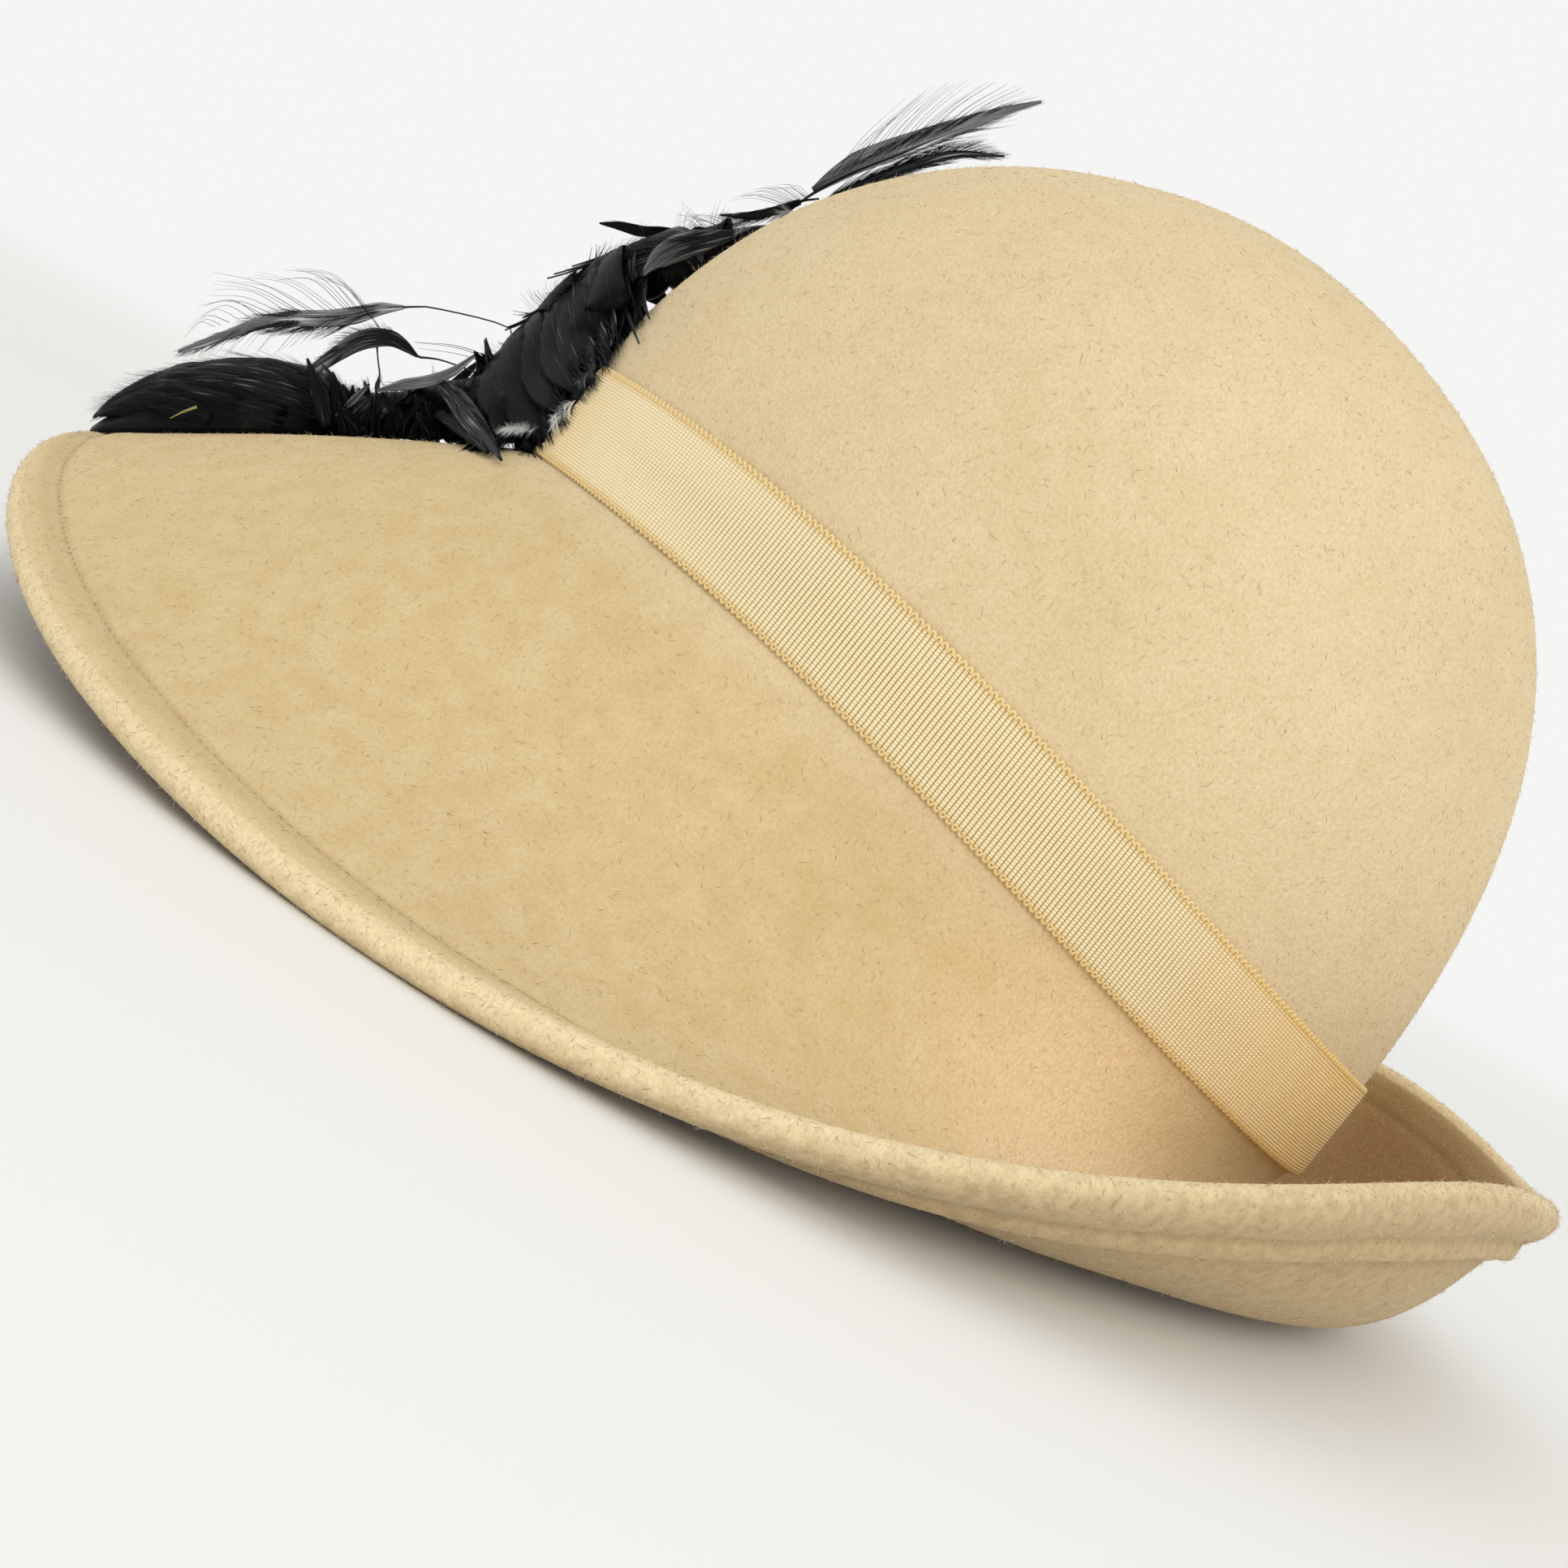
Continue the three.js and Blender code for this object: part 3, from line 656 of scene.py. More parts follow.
# %% Ribs
RIB = 0.93                         # mm from rib to rib
RIBS = {"Rib Count": 2 * round(band_length / RIB / 2), "Rib Radius": 0.445 * MM,
        "Seed": 3, "Finish": petersham}
tree, sizes = new_tree("petersham_ribs", RIBS)
line = stations(tree, sizes["Geometry"], "Count", sizes["Rib Count"])
up, off = (
    add(tree, "GeometryNodeInputNamedAttribute", {0: name}, data_type="FLOAT_VECTOR")
    for name in ("up", "off"))
bar = strand(tree, (0, 0, 0), (0, 0, 0.5), (0, 0, 1), sizes["Rib Radius"], sides=8, steps=4)
length = add(tree, "ShaderNodeVectorMath", {0: up}, operation="LENGTH")
height = add(tree, "ShaderNodeCombineXYZ", {0: 1.0, 1: 1.0, 2: length})
tone = add(tree, "FunctionNodeRandomValue", {"Seed": sizes["Seed"]}, data_type="FLOAT")
end_tree(tree, stand(tree, line, bar, up, off, tone, Scale=height), sizes["Finish"])
rib_path = path_mesh("rib_path", [{"at": bottom, "up": upward, "off": off_felt}], closed=True)
ribbon = grow("ribbon_ribs", rib_path, tree, RIBS)
finish_piece(ribbon, "ribbon", "ribbon_band")
finish_piece(ribbon_base, "ribbon")

# %% Scalloped edges
LOOPS = {"Loop Count": RIBS["Rib Count"] * 2 // 3, "Loop Width": 1.5 * RIB * MM, "Thread": 0.37 * MM,
         "Seed": 4, "Finish": petersham}
tree, sizes = new_tree("petersham_scallops", LOOPS)
line = stations(tree, sizes["Geometry"], "Count", sizes["Loop Count"])
up, off = (
    add(tree, "GeometryNodeInputNamedAttribute", {0: name}, data_type="FLOAT_VECTOR")
    for name in ("up", "off"))
left, peak, right = (
    add(tree, "ShaderNodeVectorMath", {0: corner, "Scale": sizes["Loop Width"]}, operation="SCALE")
    for corner in ((-0.4, 0, 0), (0, 0, 1.15), (0.4, 0, 0)))
arch = strand(tree, left, peak, right, sizes["Thread"], sides=4, steps=4, along="arch")
tone = add(tree, "FunctionNodeRandomValue", {"Seed": sizes["Seed"]}, data_type="FLOAT")
end_tree(tree, stand(tree, line, arch, up, off, tone), sizes["Finish"])
inward = 0.2 * MM * edge_up
edge_path = path_mesh("edge_path", [{"at": bottom + inward, "up": -edge_up, "off": off_felt},
                                    {"at": top - inward, "up": edge_up, "off": off_felt}], closed=True)
finish_piece(grow("ribbon_scallops", edge_path, tree, LOOPS), "ribbon")

# %% [markdown]
# ## Hem stitches
# One line of machine stitches holds the turned edge, 9 mm in from the rim. The thread sinks into
# the felt, so only short brown dashes show in the valley, on the top and on the underside.

# %% Stitches
STITCHES = {"Stitch Pitch": 2.1 * MM, "Stitch Length": 1.9 * MM, "Thread": 0.17 * MM,
            "Seed": 5, "Finish": sewing_thread}
tree, sizes = new_tree("stitch_line", STITCHES)
line = stations(tree, sizes["Geometry"], "Length", sizes["Stitch Pitch"])
tangent = add(tree, "GeometryNodeInputTangent")
off = add(tree, "GeometryNodeInputNamedAttribute", {0: "off"}, data_type="FLOAT_VECTOR")
back_end, crest, front_end = (                             # in threads off the felt and in lengths ahead
    add(tree, "ShaderNodeCombineXYZ", {
        axis: add(tree, "ShaderNodeMath", {0: size, 1: share}, operation="MULTIPLY")
        for axis, size, share in ((1, sizes["Thread"], raised), (2, sizes["Stitch Length"], ahead))})
    for raised, ahead in ((-1.2, -0.5), (1.4, 0.0), (-1.2, 0.5)))
stitch = strand(tree, back_end, crest, front_end, sizes["Thread"], sides=4, steps=4)
size = add(tree, "FunctionNodeRandomValue", {2: 0.75, 3: 1.1, "Seed": sizes["Seed"]}, data_type="FLOAT")
end_tree(tree, stand(tree, line, stitch, tangent, off, Scale=size), sizes["Finish"])


def seam_path(deep, dip, facing):
    """The line of stitches on one face of the brim."""
    run = rim - HEM["stitch"]
    depth = deep + facing * hem_valley(HEM["stitch"], dip) + ripple(turns, -run)
    at = to_table(brim_point(turns, run, depth))
    off = to_table(brim_point(turns, run, depth - facing)) - at
    return {"at": at, "off": off / np.linalg.norm(off, axis=1)[:, None]}


seams = [seam_path(0.04, HEM["dip_above"], 1), seam_path(2 * FELT - 0.12, HEM["dip_below"], -1)]
finish_piece(grow("hem_stitches", path_mesh("seam_lines", seams, closed=True), tree, STITCHES), "felt")

# %% [markdown]
# ## Nap
# Up close, single hairs stand out of the felt: pale ones catch light, a few dark ones lie as
# short flecks, and the longest make a soft edge against the background. Thousands of thin
# three-sided spikes are scattered over the skin, most of them lying nearly flat. A real hair is
# 0.03 mm thick, so these are drawn three times as thick to show at all.

# %% Guard hair material
guard_hair, tree = new_material("guard_hair")
tone = add(tree, "ShaderNodeAttribute", attribute_name="tone").outputs["Fac"]
colour = layered(tree, "#957a4e", (tone, 0.1, 0.3, 1, "#cdb485"), (tone, 0.5, 0.75, 1, "#f3e6c8"))
close_material(guard_hair, colour, {"Roughness": 0.7, "Sheen Weight": 0.2})

# %% Guard hairs
NAP = {"Hairs Per Area": 0.2e6, "Shortest": 0.5 * MM, "Longest": 1.9 * MM, "Hair Radius": 0.045 * MM,
       "Highest Lift": 0.9, "Seed": 6, "Finish": guard_hair}
tree, sizes = new_tree("nap", NAP)
napped = add(tree, "GeometryNodeInputNamedAttribute", {0: "napped"})
density = add(tree, "ShaderNodeMath", {0: napped, 1: sizes["Hairs Per Area"]}, operation="MULTIPLY")
spots = {"Mesh": sizes["Geometry"], "Density": density, "Seed": sizes["Seed"]}
spots = add(tree, "GeometryNodeDistributePointsOnFaces", spots)
normal = spots.outputs["Normal"]
lots = []                                                  # a lift, a length and a tone for each hair
for k, (least, most) in enumerate(((0.1, 1.0), (sizes["Shortest"], sizes["Longest"]), (0.0, 1.0))):
    seed = add(tree, "ShaderNodeMath", {0: sizes["Seed"], 1: k + 1}, operation="ADD")
    lots.append(add(tree, "FunctionNodeRandomValue", {2: least, 3: most, "Seed": seed}, data_type="FLOAT"))
lift, length, tone = lots
heading = {0: (-1, -1, -1), 1: (1, 1, 1), "Seed": sizes["Seed"]}
heading = add(tree, "FunctionNodeRandomValue", heading, data_type="FLOAT_VECTOR")
flat = add(tree, "ShaderNodeVectorMath", {0: normal, 1: heading}, operation="CROSS_PRODUCT")
flat = add(tree, "ShaderNodeVectorMath", {0: flat}, operation="NORMALIZE")
lift = add(tree, "ShaderNodeMath", {0: lift, 1: 2.0}, operation="POWER")
lift = add(tree, "ShaderNodeMath", {0: lift, 1: sizes["Highest Lift"]}, operation="MULTIPLY")
way = add(tree, "ShaderNodeVectorMath", {0: normal, 1: lift, 2: flat}, operation="MULTIPLY_ADD")
spike = {"Vertices": 3, "Radius Top": 0.0, "Radius Bottom": 1.0, "Depth": 1.0}
spike = add(tree, "GeometryNodeMeshCone", spike, fill_type="NGON")
size = add(tree, "ShaderNodeCombineXYZ", {0: sizes["Hair Radius"], 1: sizes["Hair Radius"], 2: length})
end_tree(tree, stand(tree, spots, spike, way, normal, tone, Scale=size), sizes["Finish"])
finish_piece(grow("felt_nap", felt.data.copy(), tree, NAP), "felt")

# %% [markdown]
# ## Feathers
# A hackle is a horny quill with soft barbs on both sides, which lean to its tip and cling in
# locks. Dyed black, it still glints blue-grey along its barbs and stays olive on the bare horn.
# One tree grows any feather: it walks the quill, sets a bowed, tapered barb on each side as long
# as the path's own fields say, and lets neighbours lean together.

# %% Feather material
# Both are mm long and wide, the noise's detail, its range that counts and how much paler that makes.
LOCKS = (9, 0.4, 3, (0.45, 0.75), (-0.15, 0.4))
# painted highlights: glints on single barbs drawn as paler streaks
GLINTS = (16, 0.8, 2, (0.55, 0.75), (0, 1.1))
hackle, tree = new_material("dyed_hackle_feather")
shade, horn = (
    add(tree, "ShaderNodeAttribute", attribute_name=name).outputs["Fac"] for name in ("tone", "horn"))
lay = add(tree, "ShaderNodeUVMap", uv_map="barb_lay")
streaks = []
for long, wide, detail, (low, high), (least, most) in (LOCKS, GLINTS):
    combed = add(tree, "ShaderNodeMapping", {0: lay, 3: (1 / long, 1 / wide, 1)})
    streaks.append(add(tree, "ShaderNodeTexNoise", {"Vector": combed, "Scale": 1.0, "Detail": detail}))
    paler = add(tree, "ShaderNodeMapRange", {0: streaks[-1], 1: low, 2: high, 3: least, 4: most})
    shade = add(tree, "ShaderNodeMath", {0: shade, 1: paler}, operation="ADD")
colour = layered(
    tree, "#020203",
    (shade, 0.2, 1, 1, "#17181d"),
    (shade, 1, 2, 1, "#7d7f83"),
    (shade, 2, 3.4, 1, "#f6f8f8"),
    (horn, 0.4, 1, 0.6, "#31464f"),
    (horn, 1, 2, 1, "#8e8a5c"),
)
close_material(hackle, colour, {
    "Roughness": 0.4, "Specular IOR Level": 0.09, "Sheen Weight": 0.02, "Sheen Tint": srgb("#8fb2c8"),
}, streaks[0], 0.7, 0.3)

# %% Feather tree
FEATHER = {"Barb Spacing": 0.35 * MM, "Barb Slant": math.radians(35), "Slenderness": 0.02, "Curl": 0.15,
           "Droop": 0.0, "Disorder": 0.05, "Clumping": 0.3, "Clump Size": 3 * MM, "Stem Steps": 24,
           "Barb Steps": 2, "Seed": 0, "Finish": hackle}
SHORTEST = 0.4 * MM                # a barb shorter than this is left out
tree, sizes = new_tree("feather", FEATHER)
feather_tree, path = tree, sizes["Geometry"]
quill = stations(tree, path, "Length", sizes["Barb Spacing"])
tangent = add(tree, "GeometryNodeInputTangent")
side, face = (
    add(tree, "GeometryNodeInputNamedAttribute", {0: name}, data_type="FLOAT_VECTOR")
    for name in ("side", "face"))
shade, thick = (add(tree, "GeometryNodeInputNamedAttribute", {0: name}) for name in ("shade", "thick"))
position = add(tree, "GeometryNodeInputPosition")
clump_scale = add(tree, "ShaderNodeMath", {0: 1.0, 1: sizes["Clump Size"]}, operation="DIVIDE")
clump = add(tree, "ShaderNodeTexNoise", {"Vector": position, "Scale": clump_scale, "Detail": 1.0})
lean = add(tree, "ShaderNodeMath", {0: clump, 1: 0.5}, operation="SUBTRACT")
slant = {0: lean, 1: sizes["Clumping"], 2: sizes["Barb Slant"]}
slant = add(tree, "ShaderNodeMath", slant, operation="MULTIPLY_ADD")
ahead, aside = (add(tree, "ShaderNodeMath", {0: slant}, operation=wave) for wave in ("COSINE", "SINE"))
hooked = add(tree, "ShaderNodeMath", {0: sizes["Curl"], 1: -1.0}, operation="MULTIPLY")
parts = []
for hand, reach in ((1, "upper"), (-1, "lower")):
    reach = add(tree, "GeometryNodeInputNamedAttribute", {0: reach})
    stray, vary, own = (
        add(tree, "FunctionNodeRandomValue", {
            first: least, first + 1: most,
            "Seed": add(tree, "ShaderNodeMath", {0: sizes["Seed"], 1: hand + lot}, operation="ADD"),
        }, data_type=kind)
        for kind, first, least, most, lot in (
            ("FLOAT_VECTOR", 0, (-1, -1, -1), (1, 1, 1), 11),
            ("FLOAT", 2, 0.8, 1.05, 21),
            ("FLOAT", 2, -0.3, 0.3, 31)))
    sunk, out = (
        add(tree, "ShaderNodeMath", {0: value, 1: turn}, operation="MULTIPLY")
        for value, turn in ((sizes["Droop"], -hand), (aside, hand)))
    barb_end = add(tree, "ShaderNodeCombineXYZ", {0: hooked, 1: sunk, 2: 0.95})
    barb = strand(tree, (0, 0, 0), (0, 0, 0.55), barb_end, sizes["Slenderness"],
                  taper=0.8, sides=3, steps=sizes["Barb Steps"])
    way = add(tree, "ShaderNodeVectorMath", {0: tangent, "Scale": ahead}, operation="SCALE")
    for direction, amount in ((side, out), (stray, sizes["Disorder"])):
        way = add(tree, "ShaderNodeVectorMath", {0: direction, 1: amount, 2: way}, operation="MULTIPLY_ADD")
    facing = add(tree, "ShaderNodeVectorMath", {0: face, "Scale": hand}, operation="SCALE")
    size = add(tree, "ShaderNodeMath", {0: reach, 1: vary}, operation="MULTIPLY")
    shown = {0: size, 1: SHORTEST}
    shown = add(tree, "FunctionNodeCompare", shown, data_type="FLOAT", operation="GREATER_THAN")
    tone = add(tree, "ShaderNodeMath", {0: shade, 1: own}, operation="ADD")
    parts.append(stand(tree, quill, barb, way, facing, tone, Selection=shown, Scale=size))
stem = stations(tree, path, "Count", sizes["Stem Steps"])
stem = add(tree, "GeometryNodeStoreNamedAttribute", {0: stem, "Name": "tone", "Value": shade})
ring = add(tree, "GeometryNodeCurvePrimitiveCircle", {"Resolution": 5, "Radius": 1.0})
parts.insert(0, add(tree, "GeometryNodeCurveToMesh", {0: stem, 1: ring, "Scale": thick, "Fill Caps": True}))
whole = add(tree, "GeometryNodeJoinGeometry")
for part in parts:
    tree.links.new(part.outputs[0], whole.inputs[0])
end_tree(tree, whole, sizes["Finish"])

# %% [markdown]
# ## Paths of feathers
# A feather's path is a short table of places on the felt. A smooth line runs through them, the
# other columns are read evenly along it, and the vane turns about it from flat to on edge.

# %% Smooth lines
def smooth_path(points, count):
    """A smooth line through points that is sampled evenly from row to row."""
    p = np.vstack([2 * points[0] - points[1], points, 2 * points[-1] - points[-2]])
    where = np.linspace(0, len(points) - 1, count)
    k = np.minimum(where.astype(int), len(points) - 2)
    t = (where - k)[:, None]
    a, b, c, d = p[k], p[k + 1], p[k + 2], p[k + 3]
    square, cube = 2 * a - 5 * b + 4 * c - d, 3 * b - a - 3 * c + d
    return 0.5 * (2 * b + (c - a) * t + square * t ** 2 + cube * t ** 3)


def read_along(columns, where):
    """Columns of a table, read at places between its rows."""
    return np.stack([np.interp(where, np.arange(len(columns)), column) for column in columns.T], -1)


def unit(v):
    return v / np.maximum(np.linalg.norm(v, axis=-1, keepdims=True), 1e-12)


def turned_about(v, axis, angle):
    """v turned about an axis of the same array."""
    c, s = np.cos(angle)[:, None], np.sin(angle)[:, None]
    return v * c + np.cross(axis, v) * s + axis * (axis * v).sum(1)[:, None] * (1 - c)


def over_felt(rows, count):
    """A smooth line over the felt through rows of places, with its tangent and the way off the felt."""
    spots, normals = (np.array(part) for part in zip(*(place(*row[:3]) for row in rows)))
    line = smooth_path(spots, count)
    tangent = unit(np.gradient(line, axis=0))
    normal = read_along(normals, np.linspace(0, len(rows) - 1, count))
    return line, tangent, unit(normal - tangent * (normal * tangent).sum(1)[:, None])


print("Halfway up a smooth line:", smooth_path(np.array([[0, 0, 0], [0, 1, 1], [0, 2, 0]], float), 5)[1])

# %% Feather paths
COLUMNS = ("turn", "run", "off", "upper", "lower", "roll", "thick", "horn", "shade")


def vane_path(line, side, **fields):
    """A path on the table; the fields named here are lengths in millimetres but for horn and shade."""
    tangent = unit(np.gradient(line, axis=0))
    path = {"at": to_table(line), "side": tipped(side), "face": tipped(np.cross(tangent, side))}
    for name, value in fields.items():
        path[name] = value * np.ones(len(line)) * (1 if name in ("horn", "shade") else MM)
    return path


def feather_path(rows, count=40):
    """A feather from its table: each row is a place on the felt, how far the barbs reach on each
    side, the roll of the vane from flat (0) to on edge (90), the quill's radius, how horn-like it
    looks and how pale its barbs are. Lengths are in millimetres."""
    rows = np.array(rows, float)
    line, tangent, normal = over_felt(rows, count)
    fields = dict(zip(COLUMNS, read_along(rows, np.linspace(0, len(rows) - 1, count)).T))
    normal = turned_about(normal, tangent, np.radians(fields["roll"]))
    kept = {name: fields[name] for name in ("upper", "lower", "thick", "horn", "shade")}
    return vane_path(line, np.cross(normal, tangent), **kept)


def even(turn, run, off, reach, roll, thick, shade):
    """A row of a feather whose barbs reach as far on both sides."""
    return turn, run, off, reach, reach, roll, thick, 0.3, shade


def grow_feathers(name, paths, seed, spacing=0.35, slant=35, clump=3.0, **others):
    """Grows feathers from their paths in one piece; slant in degrees, spacing and clump in mm."""
    sizes = {**FEATHER, "Barb Spacing": spacing * MM, "Barb Slant": math.radians(slant),
             "Clump Size": clump * MM, "Seed": seed}
    sizes.update((label.replace("_", " ").title(), value) for label, value in others.items())
    return grow(name, path_mesh(name + "_quills", paths), feather_tree, sizes)


print("A feather's row holds", ", ".join(COLUMNS))

# %% Bare hairs
chance = random.Random(8)


def bare_path(points, thick, shade, count=9):
    """A path that grows no barbs: a single hair through points of the upright hat."""
    line = smooth_path(np.array(points), count)
    side = unit(np.cross(unit(np.gradient(line, axis=0)), (0.31, 0.17, 0.93)))
    thick = np.linspace(thick, thick / 4, count)
    return vane_path(line, side, upper=0, lower=0, thick=thick, horn=0, shade=shade)


def loose_barbs(starts, tips, count, shade, thick=0.07, bow=2.0, stray=0.8):
    """Single long barbs from one line of places to another, bowed off the felt."""
    lines, hairs = [np.array(line, float) for line in (starts, tips)], []
    for k in range(count):
        share = (k + chance.uniform(-0.3, 0.3)) / max(count - 1, 1)
        first, last = (read_along(line, share * (len(line) - 1)) for line in lines)
        last = last + [chance.uniform(-1, 1) * stray for _ in range(3)]
        middle = (first + last) / 2 + [0, 0, bow * chance.uniform(0.7, 1.2)]
        points = [place(*spot)[0] for spot in (first, middle, last)]
        hairs.append(bare_path(points, thick * chance.uniform(0.7, 1.1), shade + chance.uniform(-0.3, 0.3)))
    return hairs


print("Points on a bare hair:", len(bare_path([(0.0, 0, 0), (0, 0, 9), (0, 3, 15)], 0.1, 1)["at"]))

# %% [markdown]
# ## Closed vanes
# Where barbs cling together, a vane is a smooth thin web and only its edge frays. Such a feather
# is a thin bowed blade, with the lay of its barbs in its UV map, and the tree's barbs on top give
# it relief and a frayed edge.

# %% Blades
VANE_CUT = np.array([-1, -0.72, -0.4, 0, 0.4, 0.72, 1])    # points across a blade, as shares of its reach
WEB = (0.16, 0.11)                 # mm: half its thickness at the quill, and what it loses by the edge


def blade_points(path, lean, fill, bow):
    """The points of one blade, section by section, with the lay of the barbs and the tone there."""
    points, lay, tones = [], [], []
    runs = np.append(0, np.cumsum(np.linalg.norm(np.diff(path["at"], axis=0), axis=1)))
    for i, (at, side, face) in enumerate(zip(path["at"], path["side"], path["face"])):
        reach = np.where(VANE_CUT > 0, path["upper"][i], path["lower"][i]) * math.sin(lean) * fill
        wide = VANE_CUT * np.maximum(reach, 0.05 * MM)
        sink = bow * np.abs(VANE_CUT) ** 2 * reach
        thick = (WEB[0] - WEB[1] * np.abs(VANE_CUT)) * MM
        for order, up in ((range(len(VANE_CUT)), 1), (range(len(VANE_CUT) - 2, 0, -1), -1)):
            for k in order:
                points.append(at + side * wide[k] + face * (up * thick[k] - sink[k]))
                lay.append((runs[i] / MM - abs(wide[k]) / MM / math.tan(lean), wide[k] / MM))
                # painted highlight: each blade's edges are drawn paler
                tones.append(path["shade"][i] + 0.5 * abs(VANE_CUT[k]) ** 4)
    return points, lay, tones


def blades(name, paths, slant=30, fill=0.75, bow=0.25):
    """Thin closed blades along feather paths; fill is their share of the barbs' reach, bow how
    far their edges sink, and slant the barbs' angle in degrees."""
    points, faces, lay, tones = [], [], [], []
    ring = len(VANE_CUT) * 2 - 2
    for path in paths:
        start = len(points)
        for whole, part in zip((points, lay, tones), blade_points(path, math.radians(slant), fill, bow)):
            whole += part
        for near in range(start, len(points) - ring, ring):
            for k in range(ring):
                after = (k + 1) % ring
                faces.append((near + k, near + after, near + ring + after, near + ring + k))
        faces.append(tuple(range(start, start + ring))[::-1])
        faces.append(tuple(range(len(points) - ring, len(points))))
    mesh = bpy.data.meshes.new(name)
    mesh.from_pydata([tuple(p) for p in points], [], faces)
    keep(mesh, "tone", tones)
    corner = np.empty(len(mesh.loops), int)
    mesh.loops.foreach_get("vertex_index", corner)
    mesh.uv_layers.new(name="barb_lay").data.foreach_set("uv", np.array(lay)[corner].ravel())
    shape = bmesh.new()
    shape.from_mesh(mesh)
    bmesh.ops.recalc_face_normals(shape, faces=shape.faces)
    shape.to_mesh(mesh)
    shape.free()
    mesh.materials.append(hackle)
    return smooth_piece(name, mesh)


def dark_core(name, rings, tone):
    """The closed dark body under a bunch of feathers."""
    core = closed_skin(name, rings)
    keep(core.data, "tone", np.full(len(core.data.vertices), tone))
    core.data.materials.append(hackle)
    return core


print("Each section of a blade has", len(VANE_CUT) * 2 - 2, "points")

# %% [markdown]
# ## The two hackles over the brim
# The long one rises from the roll on a bare quill, then spreads: a close grey web along the
# quill, long loose barbs above it and shorter ones below. The short one is darker, clings in a
# closed vane and bends down to the mound; long soft barbs rise from its root.

# %% Hackles
LONG_HACKLE = [
    (4, 8, 19, 0, 0, 0, 0.16, 1, 0.6), (1, -8, 24.2, 0, 0, 0, 0.16, 1, 0.6),
    (0, -24.6, 28, 0, 0, 80, 0.18, 1, 0.6), (0, -31, 27.9, 2, 3, 80, 0.22, 0.6, 1.2),
    (0, -36, 27.4, 7, 10, 80, 0.26, 0.3, 1.2), (-0.5, -41, 26.4, 8, 14, 80, 0.26, 0.2, 1.2),
    (-1, -47, 25.8, 8, 14, 80, 0.24, 0.2, 1.2), (-1, -54, 25.5, 8, 12, 80, 0.2, 0.2, 1.1),
    (-1.5, -61, 25.0, 7, 10, 80, 0.18, 0.2, 1.1), (-2, -68, 23.2, 5, 8, 80, 0.14, 0.2, 1.1),
    (-2, -75, 20.7, 4, 6, 80, 0.12, 0.2, 1.0), (-2, -80, 19, 2, 2, 80, 0.08, 0.2, 0.9),
]
SHORT_HACKLE = [
    (3, -8, 13, 0, 0, 0, 0.18, 1, 0.5), (2, -21, 16.9, 0, 0, 80, 0.18, 1, 0.5),
    (1, -26.9, 17.7, 1, 1, 80, 0.28, 0.6, 0.5), (1, -29.5, 19.4, 4.5, 3, 80, 0.3, 0.3, 0.6),
    (1, -32.3, 20.9, 6, 5, 80, 0.3, 0.2, 0.8), (1, -36, 21, 7, 6.5, 80, 0.26, 0.2, 1.0),
    (1, -39.5, 20, 6.5, 6.5, 80, 0.24, 0.2, 1.1), (1, -43, 17.8, 5, 5.5, 75, 0.2, 0.2, 1.2),
    (0.5, -48, 14.6, 4, 4, 70, 0.14, 0.2, 1.3), (0, -52.5, 11.6, 1, 1, 70, 0.08, 0.2, 1.3),
]
long_hackle = grow_feathers("long_hackle_barbs", [feather_path(LONG_HACKLE, 60)], 11, spacing=0.11, slant=17,
                            slenderness=0.0055, curl=0.08, disorder=0.03, barb_steps=3)
short_hackle = grow_feathers("short_hackle_barbs", [feather_path(SHORT_HACKLE, 60)], 12,
                             spacing=0.14, slant=24, slenderness=0.013, curl=0.1)
finish_piece(long_hackle, "feather", "long_hackle")
finish_piece(short_hackle, "feather", "short_hackle")

# %% Loose barbs of the hackles
# above the long hackle near its root and along its length, below it, and over the short one's root
loose = loose_barbs([(0, -35, 22.6), (0, -38, 25.9), (0, -43, 27)],
                    [(1, -45, 32.1), (2, -49.7, 33.8), (0, -53.8, 34.5), (-1, -58.5, 34.1)], 11, 1.0, bow=3.0)
loose += loose_barbs([(0, -44, 26.6), (0, -50, 26.2), (0, -56, 25.8), (0, -63, 25), (0, -70, 23)],
                     [(0, -60.5, 34), (1, -67.9, 32.6), (0, -72, 29.6), (-2, -76, 26.4), (-3, -79.5, 22.6)],
                     17, 1.0)
loose += loose_barbs([(0, -40, 26), (-1, -47, 25.4), (-1, -56, 25), (-2, -66, 23.6), (-2, -73, 21.4)],
                     [(0, -48, 20.7), (-1, -56, 19), (-1, -64, 17.8), (-2, -73, 16.9), (-3, -79, 18)],
                     26, 1.1, bow=1.2)
loose += loose_barbs([(3, -6, 14.5), (3, -8, 17)], [(1, -27, 19.6), (1, -28, 21)],
                     3, 1.0, thick=0.1, bow=1.5, stray=0.3)
print("Loose barbs so far:", len(loose))

# %% [markdown]
# ## The plumes on the crown
# Two plumes run up from the roll's top end: one stands on edge and sweeps back with a close web
# and long loose barbs above it, the other lies low along the felt. A small dark feather crosses
# their foot.

